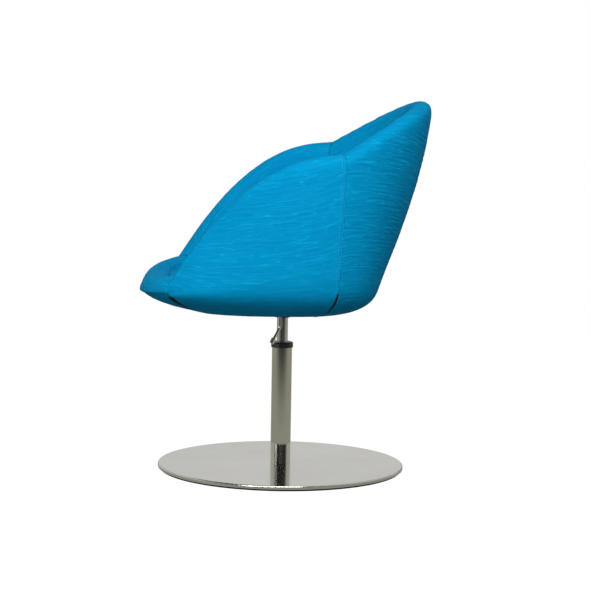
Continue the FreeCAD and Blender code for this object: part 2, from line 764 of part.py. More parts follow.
def station(turn):
    """Profile poles placed in space, at this turn from the front towards the left arm."""
    way = abs(turn) if turn <= math.pi else 2 * math.pi - turn
    return [V(radius * math.sin(turn), -radius * math.cos(turn), underside + rise)
            for radius, rise in section(way)]


skin = [station(turn) for turn in turns]


def inset(net, depth):
    """The net moved into the foam by this depth, square to the skin."""
    moved = []
    rows = len(net)
    last = len(net[0]) - 1
    for i in range(rows):
        row = []
        for j in range(last + 1):
            around = net[(i + 1) % rows][j] - net[i - 1][j]
            upward = net[i][min(j + 1, last)] - net[i][max(j - 1, 0)]
            outward = around.cross(upward).normalize()
            row.append(net[i][j] - outward * depth)
        moved.append(row)
    return moved


def rows_of(net, first, steps):
    count = len(net)
    return [net[(first + i) % count] for i in range(steps + 1)]


def clamped(count):
    """Knots and multiplicities of a clamped uniform cubic with this many poles."""
    knots = [float(i) for i in range(count - 2)]
    return knots, [4] + [1] * (count - 4) + [4]


def smooth(rows):
    surface = Part.BSplineSurface()
    u_knots, u_mults = clamped(len(rows))
    v_knots, v_mults = clamped(len(rows[0]))
    surface.buildFromPolesMultsKnots(rows, u_mults, v_mults, u_knots, v_knots, False, False, 3, 3)
    return surface


FRONT = (0, FRONT_STEPS)
LEFT = (FRONT_STEPS, SIDE_STEPS)
BACK = (FRONT_STEPS + SIDE_STEPS, BACK_STEPS)
RIGHT = (FRONT_STEPS + SIDE_STEPS + BACK_STEPS, SIDE_STEPS)
QUARTERS = (FRONT, LEFT, BACK, RIGHT)


def solid_from(faces):
    shell = Part.Shell(faces)
    shell.sewShape()
    solid = Part.Solid(shell)
    if solid.Volume < 0:
        solid.reverse()
    return solid


def cap(surfaces, v):
    """Flat face inside the closed line that the surfaces share at this v."""
    return Part.Face(Part.Wire([surface.vIso(v).toShape() for surface in surfaces]))


cushion_depth = size("cover_thickness") + size("cover_clearance")
core = inset(skin, cushion_depth)
for row in core:
    row[0].z = underside + size("underside_sheet") + size("cover_clearance")
quarters = [smooth(rows_of(core, first, steps)) for first, steps in QUARTERS]
TOP_V = float(len(core[0]) - 3)
foam = solid_from([surface.toShape() for surface in quarters]
                  + [cap(quarters, 0.0), cap(quarters, TOP_V)])

hollow = size("frame_half") + size("cover_clearance")
foam = foam.cut(frame_bars(hollow))
boss_hollow = size("boss_radius") + size("cover_clearance")
well_bottom = underside
well = Part.makeBox(size("well_length"), size("well_width"), size("well_depth"),
                    V(-size("well_length") / 2, -size("well_width") / 2, well_bottom))
slot = Part.makeBox(size("slot_reach"), size("slot_width"), size("slot_depth"),
                    V(0, -size("slot_width") / 2, well_bottom))
for tool in frame_bosses(boss_hollow, underside) + [well, slot]:
    foam = foam.cut(tool)
made("foam_bucket", foam)

# Sewn covers: thick panels between the skin and the foam, parted at the seams

RIM_SEAM_V = 11.5
lining_net = inset(skin, size("cover_thickness"))
v_trim = size("seam_gap") / 2 / (size("rim_radius") * RIM_ANGLES[1])


def ruled(line, other):
    """Face between two lines that share their knots."""
    surface = Part.BSplineSurface()
    surface.buildFromPolesMultsKnots([line.getPoles(), other.getPoles()], [2, 2],
                                     line.getMultiplicities(), [0.0, 1.0], line.getKnots(),
                                     False, False, 1, 3)
    return surface.toShape()


def thick_patch(outside, inside, u_start, u_end, v_start, v_end):
    """Solid between two like surfaces, closed by strips along its four edges."""
    for surface in (outside, inside):
        surface.segment(u_start, u_end, v_start, v_end)
    faces = [outside.toShape(), inside.toShape()]
    faces += [ruled(outside.uIso(u), inside.uIso(u)) for u in (u_start, u_end)]
    faces += [ruled(outside.vIso(v), inside.vIso(v)) for v in (v_start, v_end)]
    return solid_from(faces)


def panel_shape(quarter, v_start, v_end):
    first, steps = quarter
    outside = smooth(rows_of(skin, first, steps))
    inside = smooth(rows_of(lining_net, first, steps))
    trim = size("seam_gap") / 2 / (skin[first + 1][0] - skin[first][0]).Length
    return thick_patch(outside, inside, trim, steps - 2 - trim, v_start, v_end)


SLIT_START = 0.02
SLIT_END = 0.88
SLIT_REACH = 14
BELT_V = 3.0
GUSSET_FAN = [math.radians(angle) for angle in (-3, -1.8, -0.6, 0.6, 1.8, 3)]


def slit(turn, slack):
    """Lens-shaped prism across the belly, in which the cover edges part at this seam."""
    way = abs(turn)
    foot = plan(way, "foot", SQUARE_FRONT, SQUARE_BACK)
    belt = plan(way, "belt", SQUARE_FRONT, SQUARE_BACK)
    outward = V(math.sin(turn), -math.cos(turn), 0)
    across = V(math.cos(turn), math.sin(turn), 0)
    low = outward * foot + UP * underside
    high = outward * belt + UP * (underside + belt_rise(way))
    along = (high - low).normalize()
    square = across.cross(along).normalize()
    start = low + (high - low) * SLIT_START + along * slack
    end = low + (high - low) * SLIT_END - along * slack
    half = size("gusset_half_width") - slack
    middle = (start + end) * 0.5
    bows = [Part.Arc(start, middle + across * half, end).toShape(),
            Part.Arc(end, middle - across * half, start).toShape()]
    lens = Part.Face(Part.Wire(bows))
    lens.translate(square * -SLIT_REACH)
    return lens.extrude(square * (2 * SLIT_REACH))


def gusset(turn):
    fan = [station(turn + angle) for angle in GUSSET_FAN]
    sink = size("gusset_sink")
    outside = smooth(inset(fan, sink)[1:-1])
    inside = smooth(inset(fan, sink + size("gusset_sheet"))[1:-1])
    band = thick_patch(outside, inside, 0.0, 1.0, 0.0, BELT_V)
    return band.common(slit(turn, size("gusset_clearance")))


slits = [slit(side * seam, 0.0) for side in (1, -1) for seam in (FRONT_SEAM, REAR_SEAM)]


def cover(label, quarter, v_start, v_end):
    shape = panel_shape(quarter, v_start, v_end)
    for opening in slits:
        if v_start == 0.0 and shape.BoundBox.intersect(opening.BoundBox):
            shape = shape.cut(opening)
    return made(label, shape)


cover("front_cover", FRONT, 0.0, TOP_V - v_trim)
cover("left_side_cover", LEFT, 0.0, RIM_SEAM_V - v_trim)
cover("right_side_cover", RIGHT, 0.0, RIM_SEAM_V - v_trim)
cover("back_cover", BACK, 0.0, RIM_SEAM_V - v_trim)
cover("left_arm_lining", LEFT, RIM_SEAM_V + v_trim, TOP_V - v_trim)
cover("right_arm_lining", RIGHT, RIM_SEAM_V + v_trim, TOP_V - v_trim)
cover("back_lining", BACK, RIM_SEAM_V + v_trim, TOP_V - v_trim)
made("front_gussets", Part.makeCompound([gusset(FRONT_SEAM), gusset(-FRONT_SEAM)]))
made("rear_gussets", Part.makeCompound([gusset(REAR_SEAM), gusset(-REAR_SEAM)]))

# Crowned seat top, and the flat sheet that closes the underside

CROWN = ((0.97, 0.35), (0.86, 0.72), (0.62, 0.95), (0.3, 1.0))


def seat_station(turn):
    way = abs(turn) if turn <= math.pi else 2 * math.pi - turn
    edge = plan(way, "seat", SQUARE_SEAT, SQUARE_BACK) - 2 * size("seat_turn") - size("seam_gap")
    level = underside + size("seat_rise")
    heading = V(math.sin(turn), -math.cos(turn), 0)
    row = [heading * edge + UP * (level - size("cover_thickness")), heading * edge + UP * level]
    for share, climb in CROWN:
        row.append(heading * (edge * share) + UP * (level + climb * size("seat_crown")))
    return row


seat_net = [seat_station(turn) for turn in turns]
seat_quarters = [smooth(rows_of(seat_net, first, steps)) for first, steps in QUARTERS]
made("seat_cover", solid_from([surface.toShape() for surface in seat_quarters]
                              + [cap(seat_quarters, 0.0), cap(seat_quarters, 3.0)]))


def underside_line(first, steps):
    setback = size("cover_thickness") / 2 + size("cover_clearance")
    poles = []
    for turn in [turns[(first + i) % len(turns)] for i in range(steps + 1)]:
        way = abs(turn) if turn <= math.pi else 2 * math.pi - turn
        reach = plan(way, "foot", SQUARE_FRONT, SQUARE_BACK) - setback
        poles.append(V(reach * math.sin(turn), -reach * math.cos(turn), underside))
    line = Part.BSplineCurve()
    knots, mults = clamped(len(poles))
    line.buildFromPolesMultsKnots(poles, mults, knots, False, 3)
    return line.toShape()


outline = Part.Wire([underside_line(first, steps) for first, steps in QUARTERS])
under_sheet = Part.Face(outline).extrude(UP * size("underside_sheet"))
opening = size("bolt_pitch") + 2 * boss_hollow
under_sheet = under_sheet.cut(Part.makeBox(opening, opening, size("underside_sheet"),
                                           V(-opening / 2, -opening / 2, underside)))
made("underside_cover", under_sheet.cut(slot))

# Check every object, then write one STEP file for each piece

doc.recompute()
for thing in doc.Objects:
    if "Invalid" in thing.State or "Error" in thing.State:
        raise RuntimeError(f"{thing.Name} did not rebuild")
for piece in finished:
    if piece.Shape.isNull() or not piece.Shape.isValid():
        raise RuntimeError(f"{piece.Label} has no sound shape")

os.makedirs("parts", exist_ok=True)
for piece in finished:
    piece.Shape.exportStep(f"parts/{piece.Label}.step")
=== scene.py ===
import json
import math

import bmesh
import bpy
import numpy as np
from mathutils import Matrix, Vector


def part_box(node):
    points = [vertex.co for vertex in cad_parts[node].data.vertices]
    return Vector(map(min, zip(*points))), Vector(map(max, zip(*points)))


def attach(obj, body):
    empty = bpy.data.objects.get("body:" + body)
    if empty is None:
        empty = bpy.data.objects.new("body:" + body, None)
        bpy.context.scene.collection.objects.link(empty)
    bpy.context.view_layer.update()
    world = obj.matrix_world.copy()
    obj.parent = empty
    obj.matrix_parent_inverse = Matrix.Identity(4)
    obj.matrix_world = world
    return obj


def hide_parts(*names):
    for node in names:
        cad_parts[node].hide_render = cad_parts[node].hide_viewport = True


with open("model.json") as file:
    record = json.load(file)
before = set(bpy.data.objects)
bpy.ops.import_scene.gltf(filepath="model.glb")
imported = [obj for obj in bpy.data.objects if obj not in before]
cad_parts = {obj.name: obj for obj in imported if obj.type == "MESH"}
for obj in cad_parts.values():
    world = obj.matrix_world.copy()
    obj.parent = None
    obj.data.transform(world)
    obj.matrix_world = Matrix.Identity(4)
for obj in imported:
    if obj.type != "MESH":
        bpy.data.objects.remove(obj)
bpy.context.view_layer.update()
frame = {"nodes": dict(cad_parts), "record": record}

# Camera at the photograph's viewing angle

SENSOR_WIDTH = 36.0
FOCAL_LENGTH = 139.79
CAMERA_PLACE = Vector((5.080, -0.082, 0.967))
CAMERA_YAW = math.radians(1.229)
CAMERA_PITCH = math.radians(6.462)
CAMERA_ROLL = math.radians(0.952)


def make_camera():
    data = bpy.data.cameras.new("photo_camera")
    data.sensor_width = SENSOR_WIDTH
    data.sensor_fit = "HORIZONTAL"
    data.lens = FOCAL_LENGTH
    camera = bpy.data.objects.new("photo_camera", data)
    bpy.context.scene.collection.objects.link(camera)
    ahead = Vector((-math.cos(CAMERA_YAW) * math.cos(CAMERA_PITCH),
                    math.sin(CAMERA_YAW) * math.cos(CAMERA_PITCH),
                    -math.sin(CAMERA_PITCH)))
    level = ahead.cross(Vector((0, 0, 1))).normalized()
    above = level.cross(ahead)
    right = level * math.cos(CAMERA_ROLL) + above * math.sin(CAMERA_ROLL)
    up = right.cross(ahead)
    turn = Matrix((right, up, -ahead)).transposed()
    camera.matrix_world = Matrix.Translation(CAMERA_PLACE) @ turn.to_4x4()
    bpy.context.scene.camera = camera


make_camera()

# Shape of the bucket, in metres: the CAD skin's outlines and heights, with a rounder nose and belly

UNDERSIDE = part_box("underside_cover")[0].z
FRONT_SEAM = math.radians(46.3)
REAR_SEAM = math.radians(111.5)
SIDE_WAY = math.pi / 2
BACK_WAY = math.pi
WAIST_WAY = math.radians(62)
WIDEST_WAY = math.radians(95)
QUARTER_WAY = math.radians(140)
FRONT_STEPS = 10
SIDE_STEPS = 10
BACK_STEPS = 16
SQUARE_FRONT = 3.46
SQUARE_BACK = 2.7
SQUARE_SEAT = 4
ARM_SWEEP = 2.2
BACK_SWEEP = 1.06
FOOT = (0.198, 0.200, 0.150)
BELT = (0.313, 0.319, 0.213)
WELL = (0.232, 0.236, 0.152)
NOSE_SETBACK = 0.003
RIM_WAIST = 0.320
RIM_SIDE = 0.329
RIM_REAR_CORNER = 0.338
RIM_REAR_QUARTER = 0.329
RIM_BACK = 0.323
RIM_RADIUS = 0.022
NOSE_RADIUS = 0.031
NOSE_TUCK = 0.011
RIM_ANGLES = [math.radians(angle) for angle in (0, 36, 72, 108, 144, 180)]
RIM_POLE = 1.068
BELT_FRONT_RISE = 0.037
BELT_CORNER_RISE = 0.047
BELT_SIDE_RISE = 0.070
BELT_BACK_RISE = 0.054
NOSE_RISE = 0.072
NOSE_CORNER_RISE = 0.088
ARM_RISE = 0.354
BACK_RISE = 0.461
SEAT_RISE = 0.064
SEAT_CROWN = 0.009
SEAT_TURN = 0.008
BACK_EASE = 0.2
WALL_FLARE = ((0.0, 0.0), (SIDE_WAY, 0.12), (REAR_SEAM, 0.16), (BACK_WAY, 0.42))
LINING_TUCK = ((0.0, 0.0), (SIDE_WAY, 0.0), (BACK_WAY, 0.08))
# Middle poles of the belly, as (share of the way out, share of the rise) at the side, back and nose
BELLY_INNER = ((0.48, 0.09), (0.56, 0.05), (0.38, 0.22))
BELLY_OUTER = ((0.92, 0.48), (0.92, 0.38), (0.90, 0.59))
WALL_SHARES = (0.15, 0.38, 0.62, 0.85)
BELLY_SHARES = (0.25, 0.5, 0.75)
RIM_SEAM_V = 11.5
TOP_V = 18.0
BELT_V = 3.0
FOAM_DEPTH = 0.0055
SEAM_GAP = 0.0001


def through(keys, x):
    """Smooth curve through (x, y) keys that never overshoots them."""
    slopes = [(b[1] - a[1]) / (b[0] - a[0]) for a, b in zip(keys, keys[1:])]
    bends = [0.0]
    for before, after in zip(slopes, slopes[1:]):
        bends.append(2 * before * after / (before + after) if before * after > 0 else 0.0)
    bends.append(0.0)
    for i, (a, b) in enumerate(zip(keys, keys[1:])):
        if x <= b[0] or i == len(slopes) - 1:
            run = b[0] - a[0]
            f = min(max((x - a[0]) / run, 0.0), 1.0)
            ease = f * f * (3 - 2 * f)
            lead = f * (1 - f) * (1 - f) * run * bends[i]
            lag = f * f * (f - 1) * run * bends[i + 1]
            return a[1] + (b[1] - a[1]) * ease + lead + lag
    return keys[-1][1]


def squircle(way, side, end, power):
    across = abs(math.sin(way)) / side
    along = abs(math.cos(way)) / end
    return (across ** power + along ** power) ** (-1 / power)


def plan(way, outline, square_front, square_back=SQUARE_BACK):
    """Plan radius of an outline given as (side, front, back), in this direction from the column."""
    side, front, back = outline
    if way <= SIDE_WAY:
        return squircle(way, side, front, square_front)
    return squircle(way, side, back, square_back)


def rim_plan(way):
    if way <= FRONT_SEAM:
        return plan(way, BELT, SQUARE_FRONT) - NOSE_SETBACK
    return through([
        (FRONT_SEAM, plan(FRONT_SEAM, BELT, SQUARE_FRONT) - NOSE_SETBACK),
        (WAIST_WAY, RIM_WAIST),
        (WIDEST_WAY, RIM_SIDE),
        (REAR_SEAM, RIM_REAR_CORNER),
        (QUARTER_WAY, RIM_REAR_QUARTER),
        (BACK_WAY, RIM_BACK),
    ], way)


def rim_y(way):
    return -(rim_plan(way) - RIM_RADIUS) * math.cos(way)


def rim_rise(way):
    if way <= FRONT_SEAM:
        return NOSE_RISE + (NOSE_CORNER_RISE - NOSE_RISE) * (way / FRONT_SEAM) ** 2
    if way <= REAR_SEAM:
        left = (rim_y(REAR_SEAM) - rim_y(way)) / (rim_y(REAR_SEAM) - rim_y(FRONT_SEAM))
        return ARM_RISE - (ARM_RISE - NOSE_CORNER_RISE) * max(left, 0.0) ** ARM_SWEEP
    left = (rim_y(BACK_WAY) - rim_y(way)) / (rim_y(BACK_WAY) - rim_y(REAR_SEAM))
    return BACK_RISE - (BACK_RISE - ARM_RISE) * max(left, 0.0) ** BACK_SWEEP


def belt_rise(way):
    return through([
        (0.0, BELT_FRONT_RISE),
        (FRONT_SEAM, BELT_CORNER_RISE),
        (SIDE_WAY, BELT_SIDE_RISE),
        (REAR_SEAM, BELT_SIDE_RISE),
        (BACK_WAY, BELT_BACK_RISE),
    ], way)


def between(a, b, share):
    return a + (b - a) * share


def bezier(points, share):
    while len(points) > 1:
        points = [(between(a[0], b[0], share), between(a[1], b[1], share))
                  for a, b in zip(points, points[1:])]
    return points[0]


def belly_pole(keys, behind, ahead):
    """One of the belly's middle poles, from its places at the side, back and nose."""
    return [between(between(side, back, behind), nose, ahead) for side, back, nose in zip(*keys)]


def section(way):
    """Poles (radius, rise) of the skin's profile in this direction from the column."""
    foot = plan(way, FOOT, SQUARE_FRONT)
    nose = through([(FRONT_SEAM, 1.0), (WAIST_WAY, 0.0)], way)
    belt = plan(way, BELT, SQUARE_FRONT) - NOSE_TUCK * nose
    well = plan(way, WELL, SQUARE_SEAT)
    rim = rim_plan(way)
    top = rim_rise(way)
    waist = belt_rise(way)
    r = between(RIM_RADIUS, NOSE_RADIUS, nose)
    behind = through([(REAR_SEAM - BACK_EASE, 0.0), (BACK_WAY, 1.0)], way)
    ahead = through([(FRONT_SEAM, 1.0), (SIDE_WAY, 0.0)], way)
    flare = through(WALL_FLARE, way)
    tuck = through(LINING_TUCK, way)

    belly = [(foot, 0.0)]
    for keys in (BELLY_INNER, BELLY_OUTER):
        outward, upward = belly_pole(keys, behind, ahead)
        belly.append((foot + (belt - foot) * outward, waist * upward))
    belly.append((belt, waist))
    poles = [belly[0]] + [bezier(belly, share) for share in BELLY_SHARES] + [belly[-1]]

    reach = (top - r - waist) / 3
    wall = [(belt, waist), (belt + flare * reach, waist + reach),
            (rim - tuck * reach, top - r - reach), (rim, top - r)]
    poles += [bezier(wall, share) for share in WALL_SHARES]

    inner_drop = r * (1 - math.exp(-(top - SEAT_RISE) / r))
    for angle in RIM_ANGLES:
        drop = r if angle < SIDE_WAY else inner_drop
        height = top + r * (RIM_POLE - 1) - drop * RIM_POLE * (1 - math.sin(angle))
        poles.append((rim - r + r * RIM_POLE * math.cos(angle), height))

    inside = rim - 2 * r
    start = top - inner_drop
    reach = (start - SEAT_RISE) / 3
    lining = [(inside, start), (inside - tuck * reach, start - reach),
              (well + flare * reach, SEAT_RISE + reach), (well, SEAT_RISE)]
    poles += [bezier(lining, share) for share in WALL_SHARES]
    poles += [(well - SEAT_TURN, SEAT_RISE), (well - 2 * SEAT_TURN, SEAT_RISE)]
    return poles


def way_of(turn):
    return abs(turn) if turn <= math.pi else 2 * math.pi - turn


def station(turn):
    """Profile poles in space, at this turn from the front towards the left arm."""
    return [(radius * math.sin(turn), -radius * math.cos(turn), UNDERSIDE + rise)
            for radius, rise in section(way_of(turn))]


def quarter_net(start, end, steps):
    return np.array([station(between(start, end, i / steps)) for i in range(steps + 1)])


FRONT_NET = quarter_net(-FRONT_SEAM, FRONT_SEAM, FRONT_STEPS)
LEFT_NET = quarter_net(FRONT_SEAM, REAR_SEAM, SIDE_STEPS)
BACK_NET = quarter_net(REAR_SEAM, 2 * math.pi - REAR_SEAM, BACK_STEPS)
RIGHT_NET = quarter_net(2 * math.pi - REAR_SEAM, 2 * math.pi - FRONT_SEAM, SIDE_STEPS)


def spline_weights(count, at):
    """Weights of the poles of a clamped uniform cubic B-spline at these parameters."""
    last = count - 3
    knots = np.concatenate([np.zeros(3), np.arange(last + 1), np.full(3, last)]).astype(float)
    at = np.clip(at, 0, last - 1e-9)
    weights = [((knots[i] <= at) & (at < knots[i + 1])).astype(float)
               for i in range(len(knots) - 1)]
    for degree in (1, 2, 3):
        raised = []
        for i in range(len(weights) - 1):
            rise = knots[i + degree] - knots[i]
            fall = knots[i + degree + 1] - knots[i + 1]
            up = (at - knots[i]) / rise * weights[i] if rise > 0 else 0 * at
            down = (knots[i + degree + 1] - at) / fall * weights[i + 1] if fall > 0 else 0 * at
            raised.append(up + down)
        weights = raised
    return np.array(weights).T


def surface(net, us, vs):
    across = spline_weights(net.shape[0], us)
    upward = spline_weights(net.shape[1], vs)
    return np.einsum("ai,ijk,bj->abk", across, net, upward)


def lengths(points, axis):
    """Running length along one direction of a grid of points."""
    steps = np.linalg.norm(np.diff(points, axis=axis), axis=2)
    pad = [(0, 0), (0, 0)]
    pad[axis] = (1, 0)
    return np.pad(np.cumsum(steps, axis=axis), pad)


def even(line, low, high, cell):
    """Parameters from low to high at even steps of about one cell along a line of points."""
    grid = np.linspace(low, high, len(line))
    run = np.concatenate([[0], np.cumsum(np.linalg.norm(np.diff(line, axis=0), axis=1))])
    count = max(int(round(run[-1] / cell)), 4)
    return np.interp(np.linspace(0, run[-1], count + 1), run, grid)


def unit(vectors):
    return vectors / np.maximum(np.linalg.norm(vectors, axis=-1, keepdims=True), 1e-12)


LENGTH_SAMPLES = 300


class Panel:
    """A stretch of the skin: its grid of points, with running lengths s across and t upward."""

    def __init__(self, net, v_low, v_high, cell):
        wide = net.shape[0] - 3
        dense = np.linspace(0, 1, LENGTH_SAMPLES)
        middle = surface(net, dense * wide, np.array([(v_low + v_high) / 2]))[:, 0]
        upright = surface(net, np.array([wide / 2]), v_low + dense * (v_high - v_low))[0]
        us = even(middle, 0, wide, cell)
        self.vs = even(upright, v_low, v_high, cell)
        self.points = surface(net, us, self.vs)
        self.across = unit(np.gradient(self.points, axis=0))
        self.upward = unit(np.gradient(self.points, axis=1))
        self.normals = unit(np.cross(self.across, self.upward))
        self.s = lengths(self.points, 0)
        self.t = lengths(self.points, 1)
        self.width = self.s[-1:, :]
        self.height = self.t[:, -1:]
        self.lift = np.zeros(self.s.shape)

    def from_start(self):
        return self.s

    def from_end(self):
        return self.width - self.s

    def from_low(self):
        return self.t

    def from_high(self):
        return self.height - self.t


# Cloth relief: seams, puckers and the fine stretch creases

SEAM_DIP = 0.0008
SEAM_WIDTH = 0.0026
PUCKER_REACH = 0.011
PUCKER_PITCH = 0.0085
PUCKER_HEIGHT = 0.00042
PUCKER_SPACING = (0.55, 1.5)
PUCKER_SIZE = (0.25, 1.0)
PUCKER_WIDTH = 0.22
PUCKER_ONSET = 0.15
PUCKER_MARGIN = 0.02
PUCKER_SAMPLE = 0.0006
CREASE_WIDTH = (0.0014, 0.0025)
CREASE_HEIGHT = (0.00022, 0.00062)
CREASE_LENGTH = (0.020, 0.064)
CREASE_TILT = 0.035
CREASE_BOW = 0.5
CREASE_BAND = 0.012
HOLLOW_DEPTH = 0.75
HOLLOW_PLACE = 1.7
HOLLOW_WIDTH = 1.1
WAVE_HEIGHT = 0.0005
WAVE_COUNT = 14
WAVE_ACROSS = (6, 26)
WAVE_UPWARD = (25, 95)
WAVE_SUM = 6


def dip(distance, depth=SEAM_DIP, width=SEAM_WIDTH):
    """The hollow that a seam draws into the cloth."""
    return -depth * np.exp(-(distance / width) ** 2)


def puckers(distance, along, seed, height=PUCKER_HEIGHT, reach=PUCKER_REACH):
    """Short gathers square to a seam, dying away from it."""
    rng = np.random.default_rng(seed)
    line = np.arange(-PUCKER_MARGIN, along.max() + PUCKER_MARGIN, PUCKER_SAMPLE)
    row = np.zeros(line.shape)
    place = line[0]
    while place < line[-1]:
        place += PUCKER_PITCH * rng.uniform(*PUCKER_SPACING)
        size = height * rng.uniform(*PUCKER_SIZE)
        row += size * np.exp(-((line - place) / (PUCKER_PITCH * PUCKER_WIDTH)) ** 2)
    fade = np.exp(-distance / reach) * (1 - np.exp(-distance / (reach * PUCKER_ONSET)))
    return np.interp(along, line, row) * fade


def creases(s, q, share, density, seed, strength=1.0):
    """Thin stretch creases along lines of even q, each a ridge with a hollow beside it."""
    rng = np.random.default_rng(seed)
    relief = np.zeros(s.shape)
    area = (s.max() - s.min()) * (q.max() - q.min())
    for _ in range(int(area * density)):
        middle = rng.uniform(s.min(), s.max())
        level = rng.uniform(q.min(), q.max())
        half = rng.uniform(*CREASE_LENGTH)
        width = rng.uniform(*CREASE_WIDTH)
        height = rng.uniform(*CREASE_HEIGHT) * strength
        tilt = rng.uniform(-CREASE_TILT, CREASE_TILT)
        bow = rng.uniform(-CREASE_BOW, CREASE_BOW)
        near = (np.abs(s - middle) < half) & (np.abs(q - level) < CREASE_BAND)
        if not near.any():
            continue
        x = (s[near] - middle) / half
        y = (q[near] - level - tilt * (s[near] - middle) - bow * width * x * x * 4) / width
        hollow = np.exp(-((y - HOLLOW_PLACE) / HOLLOW_WIDTH) ** 2)
        ridge = np.exp(-y * y) - HOLLOW_DEPTH * hollow
        relief[near] += height * ridge * (1 - x * x) ** 2
    return relief * share


def waves(s, q, seed, height=WAVE_HEIGHT):
    """Broad shallow unevenness of cloth over foam."""
    rng = np.random.default_rng(seed)
    relief = np.zeros(s.shape)
    for _ in range(WAVE_COUNT):
        across = rng.uniform(*WAVE_ACROSS)
        upward = rng.uniform(*WAVE_UPWARD)
        phase = rng.uniform(0, 2 * math.pi)
        relief += np.sin(across * s + upward * q + phase) * rng.uniform(0.3, 1.0)
    return relief * height / WAVE_SUM


# Meshes

def smooth_faces(mesh):
    mesh.polygons.foreach_set("use_smooth", np.ones(len(mesh.polygons), bool))


def grid_faces(rows, columns, closed=False):
    """Faces of a grid of points, joined from its last row to its first if it is closed."""
    count = rows if closed else rows - 1
    i, j = np.meshgrid(np.arange(count), np.arange(columns - 1), indexing="ij")
    a = (i * columns + j).ravel()
    b = (((i + 1) % rows) * columns + j).ravel()
    return np.stack([a, b, b + 1, a + 1], axis=1).tolist()


def add_cloth_map(mesh, uv):
    """The cloth's own lengths as a map: the creases and the knit of the material follow it."""
    layer = mesh.uv_layers.new(name="cloth")
    corners = np.zeros(len(mesh.loops), np.int32)
    mesh.loops.foreach_get("vertex_index", corners)
    layer.data.foreach_set("uv", uv.reshape(-1, 2)[corners].ravel().astype(np.float32))


def mesh_object(name, points, faces, uv=None):
    """Smooth mesh object from an array of points and a list of faces, with a cloth map if given."""
    mesh = bpy.data.meshes.new(name)
    mesh.from_pydata(points.reshape(-1, 3).tolist(), [], faces)
    if uv is not None:
        add_cloth_map(mesh, uv)
    smooth_faces(mesh)
    mesh.update()
    piece = bpy.data.objects.new(name, mesh)
    bpy.context.scene.collection.objects.link(piece)
    return piece


HEM = 0.0042
HEM_TURN = 0.0004


def hemmed(points, normals, across, upward):
    """The grid with one more row all round, folded down into the seams."""
    inward = -normals * HEM
    low_u = points[:1] + inward[:1] + across[:1] * HEM_TURN
    high_u = points[-1:] + inward[-1:] - across[-1:] * HEM_TURN
    wide = np.concatenate([low_u, points, high_u], axis=0)
    inward = np.concatenate([inward[:1], inward, inward[-1:]], axis=0)
    rise = np.concatenate([upward[:1], upward, upward[-1:]], axis=0)
    low_v = wide[:, :1] + inward[:, :1] + rise[:, :1] * HEM_TURN
    high_v = wide[:, -1:] + inward[:, -1:] - rise[:, -1:] * HEM_TURN
    return np.concatenate([low_v, wide, high_v], axis=1)


def grown(field):
    """A field of the grid, carried on to the row that the hem adds all round."""
    return np.pad(field, 1, mode="edge")


FRONT_SLIT = (0.0100, 1.10)
REAR_SLIT = (0.0040, 0.88)
SLIT_START = 0.02
SLIT_EASE = 0.030
SLIT_SWELL = 0.8
SLIT_TAPER = 0.45
TRIM_REACH = 0.004


def slit_gap(panel, half, end):
    """How far the cover's edge stands back from the seam under the belly."""
    x = np.clip((panel.vs / BELT_V - SLIT_START) / (end - SLIT_START), 0, 1)
    return half * 2 * x ** SLIT_SWELL * (1 - x) ** SLIT_TAPER


def open_slits(panel, start_slit, end_slit):
    """Draw the panel's edges away from the seams along the slits."""
    for slit, distance, way in ((start_slit, panel.from_start(), panel.across),
                                (end_slit, panel.from_end(), -panel.across)):
        near = np.clip(1 - distance / SLIT_EASE, 0, 1)
        panel.points += way * (slit_gap(panel, *slit)[None, :] * near * near)[..., None]


def trim_seams(panel):
    """Half a seam's gap off each edge."""
    for distance, way in ((panel.from_start(), panel.across), (panel.from_end(), -panel.across),
                          (panel.from_low(), panel.upward), (panel.from_high(), -panel.upward)):
        near = np.clip(1 - distance / TRIM_REACH, 0, 1)
        panel.points += way * (SEAM_GAP / 2 * near)[..., None]


def cloth_piece(name, panel, flow):
    """Sewn cover piece from a panel whose lift is set, with its folded edges."""
    points = panel.points + panel.normals * panel.lift[..., None]
    across = unit(np.gradient(points, axis=0))
    upward = unit(np.gradient(points, axis=1))
    normals = unit(np.cross(across, upward))
    full = hemmed(points, normals, across, upward)
    uv = np.stack([grown(panel.s), grown(flow)], axis=2)
    faces = grid_faces(full.shape[0], full.shape[1])
    return mesh_object(name, full, faces, uv)


CELL = 0.0019
SMILE_BEND = 0.62
SMILE_MIDDLE = 0.20
BACK_FALL = 0.24
LINING_FALL = 0.10
FALL_EASE = 0.05
SIDE_CREASES = 1500
BACK_CREASES = 1700
PLAIN_CREASES = 1300
PLAIN_SHARE = 0.6
BACK_STRENGTH = 1.15
NOSE_PUCKERS = 0.0006
BACK_SEAM = (0.0005, 0.0016)


def fading(distance, start, run):
    """From 0 at start to 1 a run further on."""
    return np.clip((distance - start) / run, 0, 1)


def falling(panel, edge, slope):
    """Lines of the cloth that fall away from the panel's upright edges."""
    return panel.t + slope * np.sqrt(edge ** 2 + FALL_EASE ** 2)


